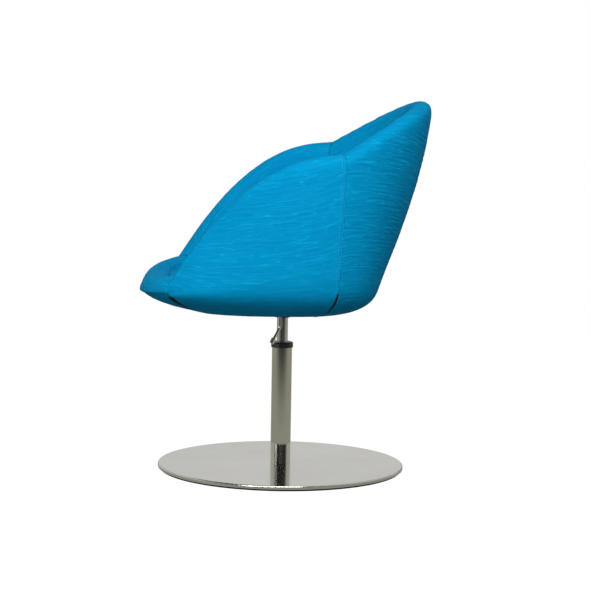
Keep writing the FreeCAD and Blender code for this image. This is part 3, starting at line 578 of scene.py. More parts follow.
def side_cover(name, net, mirrored, seed):
    """Outer cover of an arm, with the panel that it is made from and the way to its rear seam."""
    panel = Panel(net, 0.0, RIM_SEAM_V, CELL)
    front = panel.from_end() if mirrored else panel.from_start()
    rear = panel.from_start() if mirrored else panel.from_end()
    flow = panel.t - SMILE_BEND * (front - SMILE_MIDDLE) ** 2
    share = 0.25 + 0.75 * fading(panel.t, 0.10, 0.12) * (0.55 + 0.45 * fading(front, 0, 0.3))
    share = share * np.clip(np.minimum(front, rear) / 0.02, 0.2, 1)
    lift = creases(panel.s, flow, share, SIDE_CREASES, seed)
    lift += waves(panel.s, flow, seed + 1)
    lift += dip(front) * 0.5 + dip(panel.from_high())
    lift += puckers(front, panel.t, seed + 2)
    lift += puckers(panel.from_high(), panel.s, seed + 3)
    lift += felled(rear, panel.t, seed + 4)
    panel.lift = lift
    slits = (FRONT_SLIT, REAR_SLIT)
    open_slits(panel, *(slits[::-1] if mirrored else slits))
    trim_seams(panel)
    return cloth_piece(name, panel, flow), panel, rear


FELL_WIDTH = 0.0105
FELL_HEIGHT = 0.0007
FELL_EDGE = 0.0006
FELL_SEAM = (0.0008, 0.0010)
STITCH_DIP = (0.0005, 0.0010)
STITCH_ROWS = (0.0028, 0.0088)


def felled(distance, along, seed):
    """The folded allowance beside the rear seam, dimpled along its two rows of stitching."""
    fold = FELL_HEIGHT / (1 + np.exp((distance - FELL_WIDTH) / FELL_EDGE))
    edge = dip(distance, *FELL_SEAM)
    rows = sum(dip(distance - row, *STITCH_DIP) for row in STITCH_ROWS)
    return fold + edge + rows + puckers(np.maximum(distance - FELL_WIDTH, 0), along, seed)


def back_panel_cover(seed):
    panel = Panel(BACK_NET, 0.0, RIM_SEAM_V, CELL)
    edge = np.minimum(panel.from_start(), panel.from_end())
    flow = falling(panel, edge, BACK_FALL)
    share = 0.3 + 0.7 * fading(panel.t, 0.12, 0.15)
    lift = creases(panel.s, flow, share, BACK_CREASES, seed, BACK_STRENGTH)
    lift += waves(panel.s, flow, seed + 1)
    lift += dip(edge, *BACK_SEAM) + dip(panel.from_high())
    lift += puckers(edge, panel.t, seed + 2) + puckers(panel.from_high(), panel.s, seed + 3)
    panel.lift = lift
    open_slits(panel, REAR_SLIT, REAR_SLIT)
    trim_seams(panel)
    return cloth_piece("back_panel", panel, flow)


def front_panel_cover(seed):
    panel = Panel(FRONT_NET, 0.0, TOP_V, CELL)
    edge = np.minimum(panel.from_start(), panel.from_end())
    lift = creases(panel.s, panel.t, PLAIN_SHARE, PLAIN_CREASES, seed)
    lift += waves(panel.s, panel.t, seed + 1)
    lift += dip(edge) + dip(panel.from_high())
    lift += puckers(edge, panel.t, seed + 2, NOSE_PUCKERS)
    lift += puckers(panel.from_high(), panel.s, seed + 3)
    panel.lift = lift
    open_slits(panel, FRONT_SLIT, FRONT_SLIT)
    trim_seams(panel)
    return cloth_piece("nose_panel", panel, panel.t)


def lining(name, net, seed):
    panel = Panel(net, RIM_SEAM_V, TOP_V, CELL)
    edge = np.minimum(panel.from_start(), panel.from_end())
    flow = falling(panel, edge, LINING_FALL)
    lift = creases(panel.s, flow, PLAIN_SHARE, PLAIN_CREASES, seed)
    lift += waves(panel.s, flow, seed + 1)
    lift += dip(edge) * 0.35 + dip(panel.from_low()) * 0.6 + dip(panel.from_high())
    lift += puckers(edge, panel.t, seed + 2) + puckers(panel.from_low(), panel.s, seed + 3)
    lift += puckers(panel.from_high(), panel.s, seed + 4)
    panel.lift = lift
    trim_seams(panel)
    return cloth_piece(name, panel, flow)


# Seat pad: a crowned closed form let into the bucket's floor

PAD_EDGE = 2 * SEAT_TURN + 0.0006
PAD_DEPTH = 0.0032
CROWN = ((1.0, -PAD_DEPTH / SEAT_CROWN), (1.0, 0.0), (0.97, 0.35), (0.86, 0.72),
         (0.62, 0.95), (0.3, 1.0), (0.0, 1.0))
PAD_TURNS = 260
PAD_ROWS = 60
CLOTH_CELL = 0.0040
CLOTH_PRESSURE = 4.0
CLOTH_FRAMES = 20
CLOTH_QUALITY = 5
CLOTH_TRAVEL = 0.005
PAD_SHRINK = 0.6
SECTORS = 240
EDGE_SAMPLES = 200
PAD_SEAM = 0.0002
PAD_PUCKERS = (0.0007, 0.014)
PAD_RADIUS = 0.21
PAD_SHARE = 0.7
PAD_WAVES = 0.0008
PAD_QUIET = 0.01


def seat_edge(turn):
    """How far the pad reaches in this direction from the column."""
    return plan(way_of(turn), WELL, SQUARE_SEAT) - PAD_EDGE


def closed_pad(name, shrink):
    """The plain crowned pad, drawn in a little from its full outline."""
    profile = spline_weights(len(CROWN), np.linspace(0, len(CROWN) - 3, PAD_ROWS)) @ np.array(CROWN)
    turns = np.linspace(-math.pi, math.pi, PAD_TURNS, endpoint=False)
    reach = np.array([seat_edge(abs(turn)) for turn in turns]) - shrink
    x = np.sin(turns)[:, None] * reach[:, None] * profile[None, :, 0]
    y = -np.cos(turns)[:, None] * reach[:, None] * profile[None, :, 0]
    z = UNDERSIDE + SEAT_RISE + SEAT_CROWN * profile[None, :, 1] + 0 * x
    piece = mesh_object(name, np.stack([x, y, z], axis=2),
                        grid_faces(PAD_TURNS, PAD_ROWS, closed=True))
    work = bmesh.new()
    work.from_mesh(piece.data)
    work.verts.ensure_lookup_table()
    work.faces.new([work.verts[i * PAD_ROWS] for i in range(PAD_TURNS)])
    bmesh.ops.remove_doubles(work, verts=work.verts, dist=1e-6)
    bmesh.ops.recalc_face_normals(work, faces=work.faces)
    work.to_mesh(piece.data)
    work.free()
    return piece


def vertex_places(mesh):
    flat = np.zeros(3 * len(mesh.vertices))
    mesh.vertices.foreach_get("co", flat)
    return flat.reshape(-1, 3)


def swell(piece):
    """Cloth under pressure over the pad, its travel capped, with the result kept in the mesh."""
    bpy.ops.object.select_all(action="DESELECT")
    piece.select_set(True)
    bpy.context.view_layer.objects.active = piece
    remesh = piece.modifiers.new("even_cloth", "REMESH")
    remesh.mode = "VOXEL"
    remesh.voxel_size = CLOTH_CELL
    bpy.ops.object.modifier_apply(modifier=remesh.name)
    before = vertex_places(piece.data)
    cloth = piece.modifiers.new("stretch", "CLOTH")
    cloth.settings.use_pressure = True
    cloth.settings.uniform_pressure_force = CLOTH_PRESSURE
    cloth.settings.effector_weights.gravity = 0
    cloth.settings.quality = CLOTH_QUALITY
    scene = bpy.context.scene
    for step in range(1, CLOTH_FRAMES + 1):
        scene.frame_set(step)
    bpy.ops.object.modifier_apply(modifier=cloth.name)
    scene.frame_set(1)
    travel = vertex_places(piece.data) - before
    length = np.linalg.norm(travel, axis=1, keepdims=True)
    travel = travel * np.minimum(1, CLOTH_TRAVEL / np.maximum(length, 1e-9))
    piece.data.vertices.foreach_set("co", (before + travel).ravel())
    finer = piece.modifiers.new("finer", "SUBSURF")
    finer.levels = 1
    bpy.ops.object.modifier_apply(modifier=finer.name)


def seat_pad(seed):
    """The swollen pad, drawn out to its seam, with the puckers and creases of its cloth."""
    piece = closed_pad("seat_pad", CLOTH_TRAVEL * PAD_SHRINK)
    swell(piece)
    mesh = piece.data
    x, y, z = vertex_places(mesh).T
    turn = np.arctan2(x, -y)
    ways = np.linspace(0, math.pi, EDGE_SAMPLES)
    reach = np.interp(np.abs(turn), ways, [seat_edge(way) for way in ways])
    share = np.hypot(x, y) / reach
    sector = ((turn + math.pi) / (2 * math.pi) * SECTORS).astype(int) % SECTORS
    widest = np.zeros(SECTORS)
    np.maximum.at(widest, sector, share)
    middle = (np.arange(SECTORS) + 0.5) / SECTORS * 2 * math.pi - math.pi
    sewn = (1 - PAD_SEAM / reach) / np.interp(turn, middle, widest, period=2 * math.pi)
    x, y = x * sewn, y * sewn
    from_edge = np.maximum(reach - np.hypot(x, y), 0)
    lift = puckers(from_edge, (turn + math.pi) * PAD_RADIUS, seed, *PAD_PUCKERS)
    lift += creases(x, y, PAD_SHARE, PLAIN_CREASES, seed + 1)
    lift += waves(x, y, seed + 2, PAD_WAVES)
    low = UNDERSIDE + SEAT_RISE - PAD_DEPTH
    upper = np.clip((z - low) / PAD_DEPTH, 0, 1)
    z = np.maximum(z, low) + lift * upper * np.clip(from_edge / PAD_QUIET, 0.3, 1)
    mesh.vertices.foreach_set("co", np.stack([x, y, z], axis=1).ravel())
    add_cloth_map(mesh, np.stack([x, y], axis=1))
    smooth_faces(mesh)
    mesh.update()
    return piece


# Foam body under the covers

FOAM_ROWS = 120


def foam_body():
    """Closed body a little inside the skin, which shows only where a seam opens."""
    net = np.concatenate([FRONT_NET[:-1], LEFT_NET[:-1], BACK_NET[:-1], RIGHT_NET[:-1]])
    across = np.roll(net, -1, axis=0) - np.roll(net, 1, axis=0)
    upward = np.gradient(net, axis=1)
    inner = net - unit(np.cross(across, upward)) * FOAM_DEPTH
    vs = np.linspace(0, TOP_V, FOAM_ROWS)
    rows = []
    start = 0
    for steps in (FRONT_STEPS, SIDE_STEPS, BACK_STEPS, SIDE_STEPS):
        quarter = inner[np.arange(start, start + steps + 1) % len(inner)]
        rows.append(surface(quarter, np.linspace(0, steps - 2, 4 * steps + 1)[:-1], vs))
        start += steps
    points = np.concatenate(rows)
    turns = len(points)
    faces = grid_faces(turns, FOAM_ROWS, closed=True)
    faces.append([i * FOAM_ROWS for i in reversed(range(turns))])
    faces.append([i * FOAM_ROWS + FOAM_ROWS - 1 for i in range(turns)])
    return mesh_object("foam_body", points, faces)


# Black strips behind the slits: painted shade, a dark sheet standing for the shade inside the slits

SLIT_SHADE_SINK = 0.0012
SLIT_SHADE_REACH = 0.32
SLIT_SHADE_ROWS = 60
SLIT_SHADE_COLUMNS = 6
SLIT_SHADE_SPAN = (0.02, BELT_V * 1.14)


def slit_shade_strips(name, before, after):
    """Strips of black cloth under the seam between two quarters, on both sides of the chair: painted
    shade inside the slits.
    """
    last = before.shape[0] - 3
    share = np.linspace(0, SLIT_SHADE_REACH, SLIT_SHADE_COLUMNS)
    vs = np.linspace(*SLIT_SHADE_SPAN, SLIT_SHADE_ROWS)
    strip = np.concatenate([surface(before, last - share[::-1], vs), surface(after, share[1:], vs)])
    across = unit(np.gradient(strip, axis=0))
    upward = unit(np.gradient(strip, axis=1))
    strip = strip - unit(np.cross(across, upward)) * SLIT_SHADE_SINK
    mirrored = strip[::-1] * np.array([-1, 1, 1])
    faces = np.array(grid_faces(len(strip), SLIT_SHADE_ROWS))
    both = np.concatenate([faces, faces + len(strip) * SLIT_SHADE_ROWS])
    return mesh_object(name, np.concatenate([strip, mirrored]), both.tolist())


# Stitches: short thread arches in two rows beside each rear seam

STITCH_PITCH = 0.0062
STITCH_LENGTH = 0.0044
THREAD_RADIUS = 0.00042
THREAD_RISE = 0.0003
THREAD_SIDES = 6
THREAD_ARCH = 1.1
THREAD_PROFILE = ((-0.5, 0.15), (-0.42, 0.8), (-0.2, 1.0), (0.2, 1.0), (0.42, 0.8), (0.5, 0.15))
STITCHED = (BELT_V * 1.02, RIM_SEAM_V - 0.15)


def thread_row(panel, rear, offset):
    """Points and outward directions along a row at this distance from the rear seam."""
    line = []
    for j in range(panel.vs.size):
        if not STITCHED[0] <= panel.vs[j] <= STITCHED[1]:
            continue
        i = int(np.argmin(np.abs(rear[:, j] - offset)))
        lift = panel.lift[i, j] + THREAD_RISE
        line.append((panel.points[i, j] + panel.normals[i, j] * lift, panel.normals[i, j]))
    return line


def stitches(name, rows):
    """Capsule-shaped threads along each row."""
    verts = []
    faces = []
    for row in rows:
        line = np.array([place for place, _ in row])
        outward = np.array([way for _, way in row])
        run = np.concatenate([[0], np.cumsum(np.linalg.norm(np.diff(line, axis=0), axis=1))])
        for start in np.arange(STITCH_PITCH, run[-1] - STITCH_PITCH, STITCH_PITCH):
            ends = [np.array([np.interp(start + d, run, line[:, k]) for k in range(3)])
                    for d in (-STITCH_LENGTH / 2, STITCH_LENGTH / 2)]
            normal = unit(np.array([np.interp(start, run, outward[:, k]) for k in range(3)]))
            middle = (ends[0] + ends[1]) / 2
            way = unit(ends[1] - ends[0])
            side = np.cross(way, normal)
            base = len(verts)
            for share, thick in THREAD_PROFILE:
                arch = normal * THREAD_RADIUS * THREAD_ARCH * (0.25 - share * share) * 2
                centre = middle + way * (share * STITCH_LENGTH) + arch
                for k in range(THREAD_SIDES):
                    angle = 2 * math.pi * k / THREAD_SIDES
                    spoke = side * math.cos(angle) + normal * math.sin(angle)
                    verts.append(centre + spoke * (THREAD_RADIUS * thick))
            for p in range(len(THREAD_PROFILE) - 1):
                for k in range(THREAD_SIDES):
                    a = base + p * THREAD_SIDES + k
                    b = base + p * THREAD_SIDES + (k + 1) % THREAD_SIDES
                    faces.append((a, b, b + THREAD_SIDES, a + THREAD_SIDES))
    return mesh_object(name, np.array(verts), faces)


# Underside sheet with its openings for the seat plate and the lever

OPENING_HALF = 0.0683
SLOT_REACH = 0.172
SLOT_HALF = 0.015
SHEET_RISE = 0.0006
SHEET_INSET = 0.0012
SHEET_TURNS = 240
SHEET_ROWS = 14
SHEET_DRAW = 0.0008
CORNER_NEAR = 0.0006


def box_reach(turn, half_x, half_y):
    """How far a rectangle round the column reaches in this direction."""
    x = abs(math.sin(turn))
    y = abs(math.cos(turn))
    return min(half_x / max(x, 1e-9), half_y / max(y, 1e-9))


def under_sheet():
    """The sheet as rows of points from its outline to its openings, drawn up a little between."""
    way_in = math.atan2(OPENING_HALF, SLOT_HALF)
    way_out = math.atan2(SLOT_REACH, SLOT_HALF)
    edges = [way_out, math.pi - way_out, way_in, math.pi - way_in]
    turns = [edge + step for edge in edges for step in (-CORNER_NEAR, CORNER_NEAR)]
    turns += [math.pi / 4 * k for k in (-3, -1, 1, 3)]
    turns = sorted(turns + np.linspace(-math.pi, math.pi, SHEET_TURNS, endpoint=False).tolist())
    grid = []
    for turn in turns:
        outer = plan(abs(turn), FOOT, SQUARE_FRONT) - SHEET_INSET
        inner = box_reach(turn, OPENING_HALF, OPENING_HALF)
        if turn > 0:
            inner = max(inner, box_reach(turn, SLOT_REACH, SLOT_HALF))
        for k in range(SHEET_ROWS):
            share = k / (SHEET_ROWS - 1)
            radius = between(outer, inner, share)
            drawn = SHEET_DRAW * math.sin(math.pi * share) * (0.6 + 0.4 * math.sin(9 * turn))
            grid.append((radius * math.sin(turn), -radius * math.cos(turn),
                         UNDERSIDE + SHEET_RISE + drawn))
    return mesh_object("under_sheet", np.array(grid), grid_faces(len(turns), SHEET_ROWS, closed=True))


# Materials

KNIT_LOOP = (0.0011, 0.0008)
WEAVE_SCALE = 900
GRAIN_SCALE = 900
HAIRLINE_SCALE = (900, 900, 12)


def new_material(name, **sockets):
    material = bpy.data.materials.new(name)
    material.use_nodes = True
    shader = material.node_tree.nodes["Principled BSDF"]
    for socket, value in sockets.items():
        shader.inputs[socket.replace("_", " ")].default_value = value
    return material, material.node_tree.nodes, material.node_tree.links, shader


def ramp(nodes, links, source, low, high, start=0.3, end=0.7):
    node = nodes.new("ShaderNodeValToRGB")
    node.color_ramp.elements[0].position = start
    node.color_ramp.elements[1].position = end
    node.color_ramp.elements[0].color = (*low, 1)
    node.color_ramp.elements[1].color = (*high, 1)
    links.new(source, node.inputs["Fac"])
    return node


def bump(nodes, links, source, distance, strength=1.0, before=None):
    node = nodes.new("ShaderNodeBump")
    node.inputs["Distance"].default_value = distance
    node.inputs["Strength"].default_value = strength
    links.new(source, node.inputs["Height"])
    if before is not None:
        links.new(before.outputs["Normal"], node.inputs["Normal"])
    return node


def noise(nodes, links, vector, scale, detail=2.0):
    node = nodes.new("ShaderNodeTexNoise")
    node.inputs["Scale"].default_value = scale
    node.inputs["Detail"].default_value = detail
    if vector is not None:
        links.new(vector, node.inputs["Vector"])
    return node


def mapping(nodes, links, vector, scale):
    """The vector, stretched by a scale along each axis."""
    node = nodes.new("ShaderNodeMapping")
    node.inputs["Scale"].default_value = scale
    links.new(vector, node.inputs["Vector"])
    return node.outputs["Vector"]


def maths(nodes, links, operation, a, b=None):
    """Result of an operation on one or two numbers or sockets."""
    node = nodes.new("ShaderNodeMath")
    node.operation = operation
    for socket, value in zip(node.inputs, (a, b)):
        if value is None:
            continue
        if isinstance(value, (int, float)):
            socket.default_value = value
        else:
            links.new(value, socket)
    return node.outputs[0]


def relief_from(nodes, links, shader, source, distance, strength, before=None):
    links.new(bump(nodes, links, source, distance, strength, before).outputs["Normal"],
              shader.inputs["Normal"])


def ridges(nodes, links, vector, scale, sharpness):
    """Thin wandering ridges where a stretched noise passes its middle value."""
    field = noise(nodes, links, mapping(nodes, links, vector, scale), 1.0, 2)
    centred = maths(nodes, links, "SUBTRACT", field.outputs["Fac"], 0.5)
    far = maths(nodes, links, "MULTIPLY", maths(nodes, links, "ABSOLUTE", centred), sharpness)
    rise = maths(nodes, links, "SUBTRACT", 1.0, far)
    return maths(nodes, links, "MAXIMUM", rise, 0.0)


def fabric_material():
    """Blue stretch knit: fine loops, long creases along the cloth with a painted highlight where the
    crease lines lighten the colour, and a faint random change of colour depth.
    """
    material, nodes, links, shader = new_material(
        "blue_knit", Roughness=0.75, Specular_IOR_Level=0.02)
    cloth = nodes.new("ShaderNodeUVMap")
    cloth.uv_map = "cloth"
    place = cloth.outputs["UV"]
    long_lines = ridges(nodes, links, place, (6, 62, 1), 55)
    short_lines = ridges(nodes, links, place, (13, 140, 1), 34)
    patches = noise(nodes, links, mapping(nodes, links, place, (9, 40, 1)), 1.0, 2)
    lines = maths(nodes, links, "ADD", long_lines,
                  maths(nodes, links, "MULTIPLY", short_lines, 0.6))
    # The crease lines lighten the base colour as well as raising bumps: a painted highlight on the
    # crease ridges. The patches are a random change of tone.
    painted_highlight_and_tone = maths(nodes, links, "ADD", maths(nodes, links, "MULTIPLY", lines, 0.42),
                 maths(nodes, links, "MULTIPLY", patches.outputs["Fac"], 0.22))
    colour = ramp(nodes, links, painted_highlight_and_tone, (0.0005, 0.264, 0.530), (0.0030, 0.390, 0.700), 0.10, 0.75)
    links.new(colour.outputs["Color"], shader.inputs["Base Color"])
    split = nodes.new("ShaderNodeSeparateXYZ")
    links.new(place, split.inputs[0])
    rows = [maths(nodes, links, "SINE",
                  maths(nodes, links, "MULTIPLY", split.outputs[axis], 2 * math.pi / pitch))
            for axis, pitch in zip("XY", KNIT_LOOP)]
    loops = maths(nodes, links, "MULTIPLY", *rows)
    relief_from(nodes, links, shader, loops, 0.00006, 0.6, bump(nodes, links, lines, 0.00016))
    return material


def black_cloth_and_slit_shade_material():
    """Black woven cloth of the underside sheet, also on the strips behind the slits, where its black is
    painted shade.
    """
    material, nodes, links, shader = new_material(
        "black_cloth_and_slit_shade", Roughness=0.9, Specular_IOR_Level=0.15)
    place = nodes.new("ShaderNodeTexCoord")
    weave = nodes.new("ShaderNodeTexVoronoi")
    weave.inputs["Scale"].default_value = WEAVE_SCALE
    links.new(place.outputs["Object"], weave.inputs["Vector"])
    colour = ramp(nodes, links, weave.outputs["Distance"],
                  (0.006, 0.006, 0.007), (0.016, 0.016, 0.018), 0.1, 0.6)
    links.new(colour.outputs["Color"], shader.inputs["Base Color"])
    relief_from(nodes, links, shader, weave.outputs["Distance"], 0.0003, 1.0)
    return material


def polished_material(name, low, high, roughness):
    """Polished steel: near mirror, with faint hairlines and smears."""
    material, nodes, links, shader = new_material(name, Metallic=1.0, Roughness=roughness)
    place = nodes.new("ShaderNodeTexCoord")
    smear = noise(nodes, links, place.outputs["Object"], 7, 4)
    stretched = mapping(nodes, links, place.outputs["Object"], HAIRLINE_SCALE)
    hair = noise(nodes, links, stretched, 1.0, 2)
    colour = ramp(nodes, links, smear.outputs["Fac"], low, high, 0.3, 0.75)
    links.new(colour.outputs["Color"], shader.inputs["Base Color"])
    gloss = nodes.new("ShaderNodeMapRange")
    gloss.inputs["To Min"].default_value = roughness * 0.75
    gloss.inputs["To Max"].default_value = roughness * 1.35
    links.new(smear.outputs["Fac"], gloss.inputs["Value"])
    links.new(gloss.outputs["Result"], shader.inputs["Roughness"])
    relief_from(nodes, links, shader, hair.outputs["Fac"], 0.00001, 0.3)
    return material


def disc_material():
    """Polished steel plate with a faint turned grain round the column."""
    material, nodes, links, shader = new_material("polished_disc", Metallic=1.0, Roughness=0.14)
    place = nodes.new("ShaderNodeTexCoord")
    split = nodes.new("ShaderNodeSeparateXYZ")
    links.new(place.outputs["Object"], split.inputs[0])
    squares = [maths(nodes, links, "MULTIPLY", split.outputs[axis], split.outputs[axis])
               for axis in "XY"]
    radius = maths(nodes, links, "SQRT", maths(nodes, links, "ADD", *squares))
    join = nodes.new("ShaderNodeCombineXYZ")
    links.new(maths(nodes, links, "MULTIPLY", radius, GRAIN_SCALE), join.inputs["X"])
    links.new(maths(nodes, links, "MULTIPLY", split.outputs["Z"], GRAIN_SCALE / 3), join.inputs["Z"])
    grain = noise(nodes, links, join.outputs[0], 1.0, 2)
    smear = noise(nodes, links, place.outputs["Object"], 6, 4)
    colour = ramp(nodes, links, smear.outputs["Fac"], (0.53, 0.52, 0.49), (0.60, 0.59, 0.565), 0.3, 0.7)
    links.new(colour.outputs["Color"], shader.inputs["Base Color"])
    relief_from(nodes, links, shader, grain.outputs["Fac"], 0.000012, 0.4)
    return material


def speckled(name, low, high, scale, height, **sockets):
    """Plain hard finish with a fine grain in its colour and relief."""
    material, nodes, links, shader = new_material(name, **sockets)
    place = nodes.new("ShaderNodeTexCoord")
    grain = noise(nodes, links, place.outputs["Object"], scale, 3)
    colour = ramp(nodes, links, grain.outputs["Fac"], low, high)
    links.new(colour.outputs["Color"], shader.inputs["Base Color"])
    relief_from(nodes, links, shader, grain.outputs["Fac"], height, 0.6)
    return material


SLOT_MATERIALS = {
    "polished_steel": polished_material(
        "polished_column", (0.53, 0.525, 0.47), (0.62, 0.61, 0.56), 0.045),
    "chrome_tube": polished_material(
        "bright_chrome", (0.60, 0.59, 0.58), (0.67, 0.66, 0.65), 0.07),
    "plain_steel": speckled(
        "zinc_steel", (0.42, 0.42, 0.41), (0.55, 0.55, 0.53), 800, 0.00004,
        Metallic=1.0, Roughness=0.35),
    "rubber": speckled(
        "black_rubber", (0.010, 0.010, 0.010), (0.022, 0.022, 0.021), 1200, 0.00008,
        Roughness=0.75),
    "weight_paint": speckled(
        "primer", (0.018, 0.018, 0.018), (0.032, 0.032, 0.031), 700, 0.00006, Roughness=0.6),
    "frame_paint": speckled(
        "powder_coat", (0.014, 0.014, 0.015), (0.026, 0.026, 0.027), 1500, 0.00006,
        Roughness=0.45),
    "black_plastic": speckled(
        "black_nylon", (0.012, 0.012, 0.013), (0.024, 0.024, 0.024), 900, 0.00003,
        Roughness=0.32),
    "foam": speckled(
        "moulded_foam", (0.60, 0.53, 0.34), (0.72, 0.65, 0.45), 600, 0.0003, Roughness=0.95),
    "blue_fabric": fabric_material(),
    "black_fabric": black_cloth_and_slit_shade_material(),
}
DISC = disc_material()
THREAD = speckled(
    "blue_thread", (0.003, 0.33, 0.62), (0.006, 0.42, 0.75), 2600, 0.00005, Roughness=0.5)


def paint(piece, material):
    piece.data.materials.clear()
    piece.data.materials.append(material)


def refinish(node, material):
    """A better material in each of a CAD node's own slots."""
    slots = node.data.materials
    if not slots:
        slots.append(material)
    for index in range(len(slots)):
        slots[index] = material


for entry in frame["record"]["subparts"]:
    finish = DISC if entry["node"] == "base_cover" else SLOT_MATERIALS[entry["material_slot"]]
    refinish(frame["nodes"][entry["node"]], finish)


def dress(piece, slot, *nodes, material=None):
    """Give a new piece its finish and its body, and hide the CAD nodes that it stands for."""
    paint(piece, material or SLOT_MATERIALS[slot])
    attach(piece, "seat")
    if nodes:
        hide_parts(*nodes)


# Build the bucket

left, left_cloth, left_rear = side_cover("left_panel", LEFT_NET, False, 11)
right, right_cloth, right_rear = side_cover("right_panel", RIGHT_NET, True, 23)
covers = [
    (left, "left_side_cover"),
    (right, "right_side_cover"),
    (back_panel_cover(37), "back_cover"),
    (front_panel_cover(51), "front_cover"),
    (lining("left_inner_panel", LEFT_NET, 67), "left_arm_lining"),
    (lining("right_inner_panel", RIGHT_NET, 79), "right_arm_lining"),
    (lining("back_inner_panel", BACK_NET, 83), "back_lining"),
]
for cover, node in covers:
    dress(cover, "blue_fabric", node)
pad = seat_pad(97)
dress(pad, "blue_fabric", "seat_cover")
foam = foam_body()
dress(foam, "foam", "foam_bucket")
# The black strips behind the slits are painted shade inside the slit openings.
dress(slit_shade_strips("front_slit_shade_strips", FRONT_NET, LEFT_NET), "black_fabric", "front_gussets")
dress(slit_shade_strips("rear_slit_shade_strips", LEFT_NET, BACK_NET), "black_fabric", "rear_gussets")
sheet = under_sheet()
dress(sheet, "black_fabric", "underside_cover")
rows = [thread_row(cloth, rear, offset)
        for cloth, rear in ((left_cloth, left_rear), (right_cloth, right_rear))
        for offset in STITCH_ROWS]
dress(stitches("seam_stitches", rows), "blue_fabric", material=THREAD)

# Floor, light and background

FLOOR_SIZE = 8.0
FLOOR_MATT = (0.82, 0.82, 0.81, 1)
FLOOR_BOUNCE = (0.16, 0.17, 0.17, 1)
FLOOR_GLOW = 1.09
GLOW_SHARE = 0.9
# The floor's painted reflection: a glow seen only by glossy rays, strongest near the chair and fading
# along X towards the camera.
MIRRORED_FLOOR = (1, 1, 0.86, 1)
MIRRORED_SPAN = (0.25, 2.2)
MIRRORED_STRENGTH = (0.40, 0.06)
WHITE = (1, 1, 1, 1)
AMBIENT = 0.34
ROOM_NEAR = (0.73, 0.73, 0.71)
ROOM_FAR = (0.028, 0.028, 0.020)
# Name, place, aim, width, height and power of each lamp
LAMPS = (
    ("key", (3.0, 0.1, 2.4), (0, 0, 0.55), 2.2, 1.8, 108),
    ("low", (2.2, -3.0, 0.3), (0, 0, 0.45), 1.6, 0.5, 12),
    ("fill", (2.6, 2.6, 1.8), (0, 0, 0.5), 1.6, 1.2, 5),
)


def add(nodes, kind, **sockets):
    """First output of a new shader node, with these values in its sockets."""
    node = nodes.new("ShaderNode" + kind)
    for socket, value in sockets.items():
        node.inputs[socket].default_value = value
    return node.outputs[0]


def mixed(nodes, links, factor, first, second):
    """From the first shader to the second, by a number or a socket."""
    node = nodes.new("ShaderNodeMixShader")
    if isinstance(factor, float):
        node.inputs["Fac"].default_value = factor
    else:
        links.new(factor, node.inputs["Fac"])
    links.new(first, node.inputs[1])
    links.new(second, node.inputs[2])
    return node.outputs[0]


def along_x(nodes, links, source):
    """The X of the place on the floor or of the way into the world."""
    place = nodes.new("ShaderNodeTexCoord")
    split = nodes.new("ShaderNodeSeparateXYZ")
    links.new(place.outputs[source], split.inputs[0])
    return split.outputs["X"]


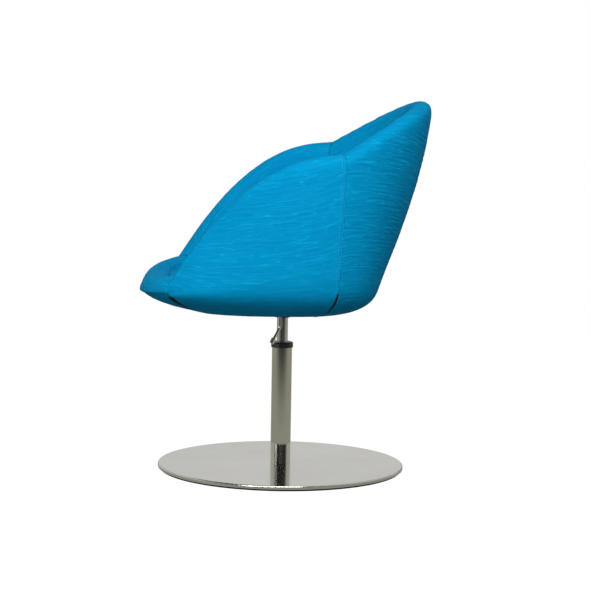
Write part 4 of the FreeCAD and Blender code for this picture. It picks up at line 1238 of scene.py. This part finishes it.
def floor():
    """White to the camera with the object's shadow, dim to the object, and a painted reflection in its
    metal: to glossy rays it glows, brighter near the chair and dimmer towards the camera.
    """
    half = FLOOR_SIZE / 2
    corners = np.array([(-half, -half, 0), (half, -half, 0), (half, half, 0), (-half, half, 0)])
    plane = mesh_object("floor", corners, [[0, 1, 2, 3]])
    material = bpy.data.materials.new("pale_floor")
    material.use_nodes = True
    nodes, links = material.node_tree.nodes, material.node_tree.links
    nodes.clear()
    path = nodes.new("ShaderNodeLightPath")
    # Painted reflection: the strength of the floor's glow in the metal, falling off along X.
    painted_reflection_fade = nodes.new("ShaderNodeMapRange")
    painted_reflection_fade.interpolation_type = "SMOOTHSTEP"
    for socket, value in zip(("From Min", "From Max", "To Min", "To Max"),
                             MIRRORED_SPAN + MIRRORED_STRENGTH):
        painted_reflection_fade.inputs[socket].default_value = value
    links.new(along_x(nodes, links, "Object"), painted_reflection_fade.inputs["Value"])
    mirrored = add(nodes, "Emission", Color=MIRRORED_FLOOR)
    links.new(painted_reflection_fade.outputs["Result"], mirrored.node.inputs["Strength"])
    seen = mixed(nodes, links, GLOW_SHARE, add(nodes, "BsdfDiffuse", Color=FLOOR_MATT),
                 add(nodes, "Emission", Strength=FLOOR_GLOW))
    plain = mixed(nodes, links, path.outputs["Is Camera Ray"],
                  add(nodes, "BsdfDiffuse", Color=FLOOR_BOUNCE), seen)
    glossy = mixed(nodes, links, path.outputs["Is Glossy Ray"], plain, mirrored)
    links.new(glossy, nodes.new("ShaderNodeOutputMaterial").inputs["Surface"])
    paint(plane, material)


def studio_world():
    """White to the camera, a plain soft light to the object, and a graded room in its metal."""
    world = bpy.data.worlds.new("studio")
    bpy.context.scene.world = world
    world.use_nodes = True
    nodes, links = world.node_tree.nodes, world.node_tree.links
    nodes.clear()
    path = nodes.new("ShaderNodeLightPath")
    room = ramp(nodes, links, along_x(nodes, links, "Generated"), ROOM_NEAR, ROOM_FAR, 0.05, 0.62)
    room.color_ramp.interpolation = "EASE"
    mirrored = add(nodes, "Background")
    links.new(room.outputs["Color"], mirrored.node.inputs["Color"])
    lit = mixed(nodes, links, path.outputs["Is Glossy Ray"],
                add(nodes, "Background", Color=WHITE, Strength=AMBIENT), mirrored)
    white = maths(nodes, links, "MAXIMUM",
                  path.outputs["Is Camera Ray"], path.outputs["Is Transmission Ray"])
    seen = mixed(nodes, links, white, lit, add(nodes, "Background", Color=WHITE))
    links.new(seen, nodes.new("ShaderNodeOutputWorld").inputs["Surface"])


def softbox(name, place, aim, width, height, power):
    data = bpy.data.lights.new(name, "AREA")
    data.shape = "RECTANGLE"
    data.size = width
    data.size_y = height
    data.energy = power
    light = bpy.data.objects.new(name, data)
    bpy.context.scene.collection.objects.link(light)
    light.location = place
    light.rotation_euler = (Vector(aim) - Vector(place)).to_track_quat("-Z", "Y").to_euler()


floor()
studio_world()
for lamp in LAMPS:
    softbox(*lamp)

bpy.context.scene.view_settings.view_transform = "Standard"
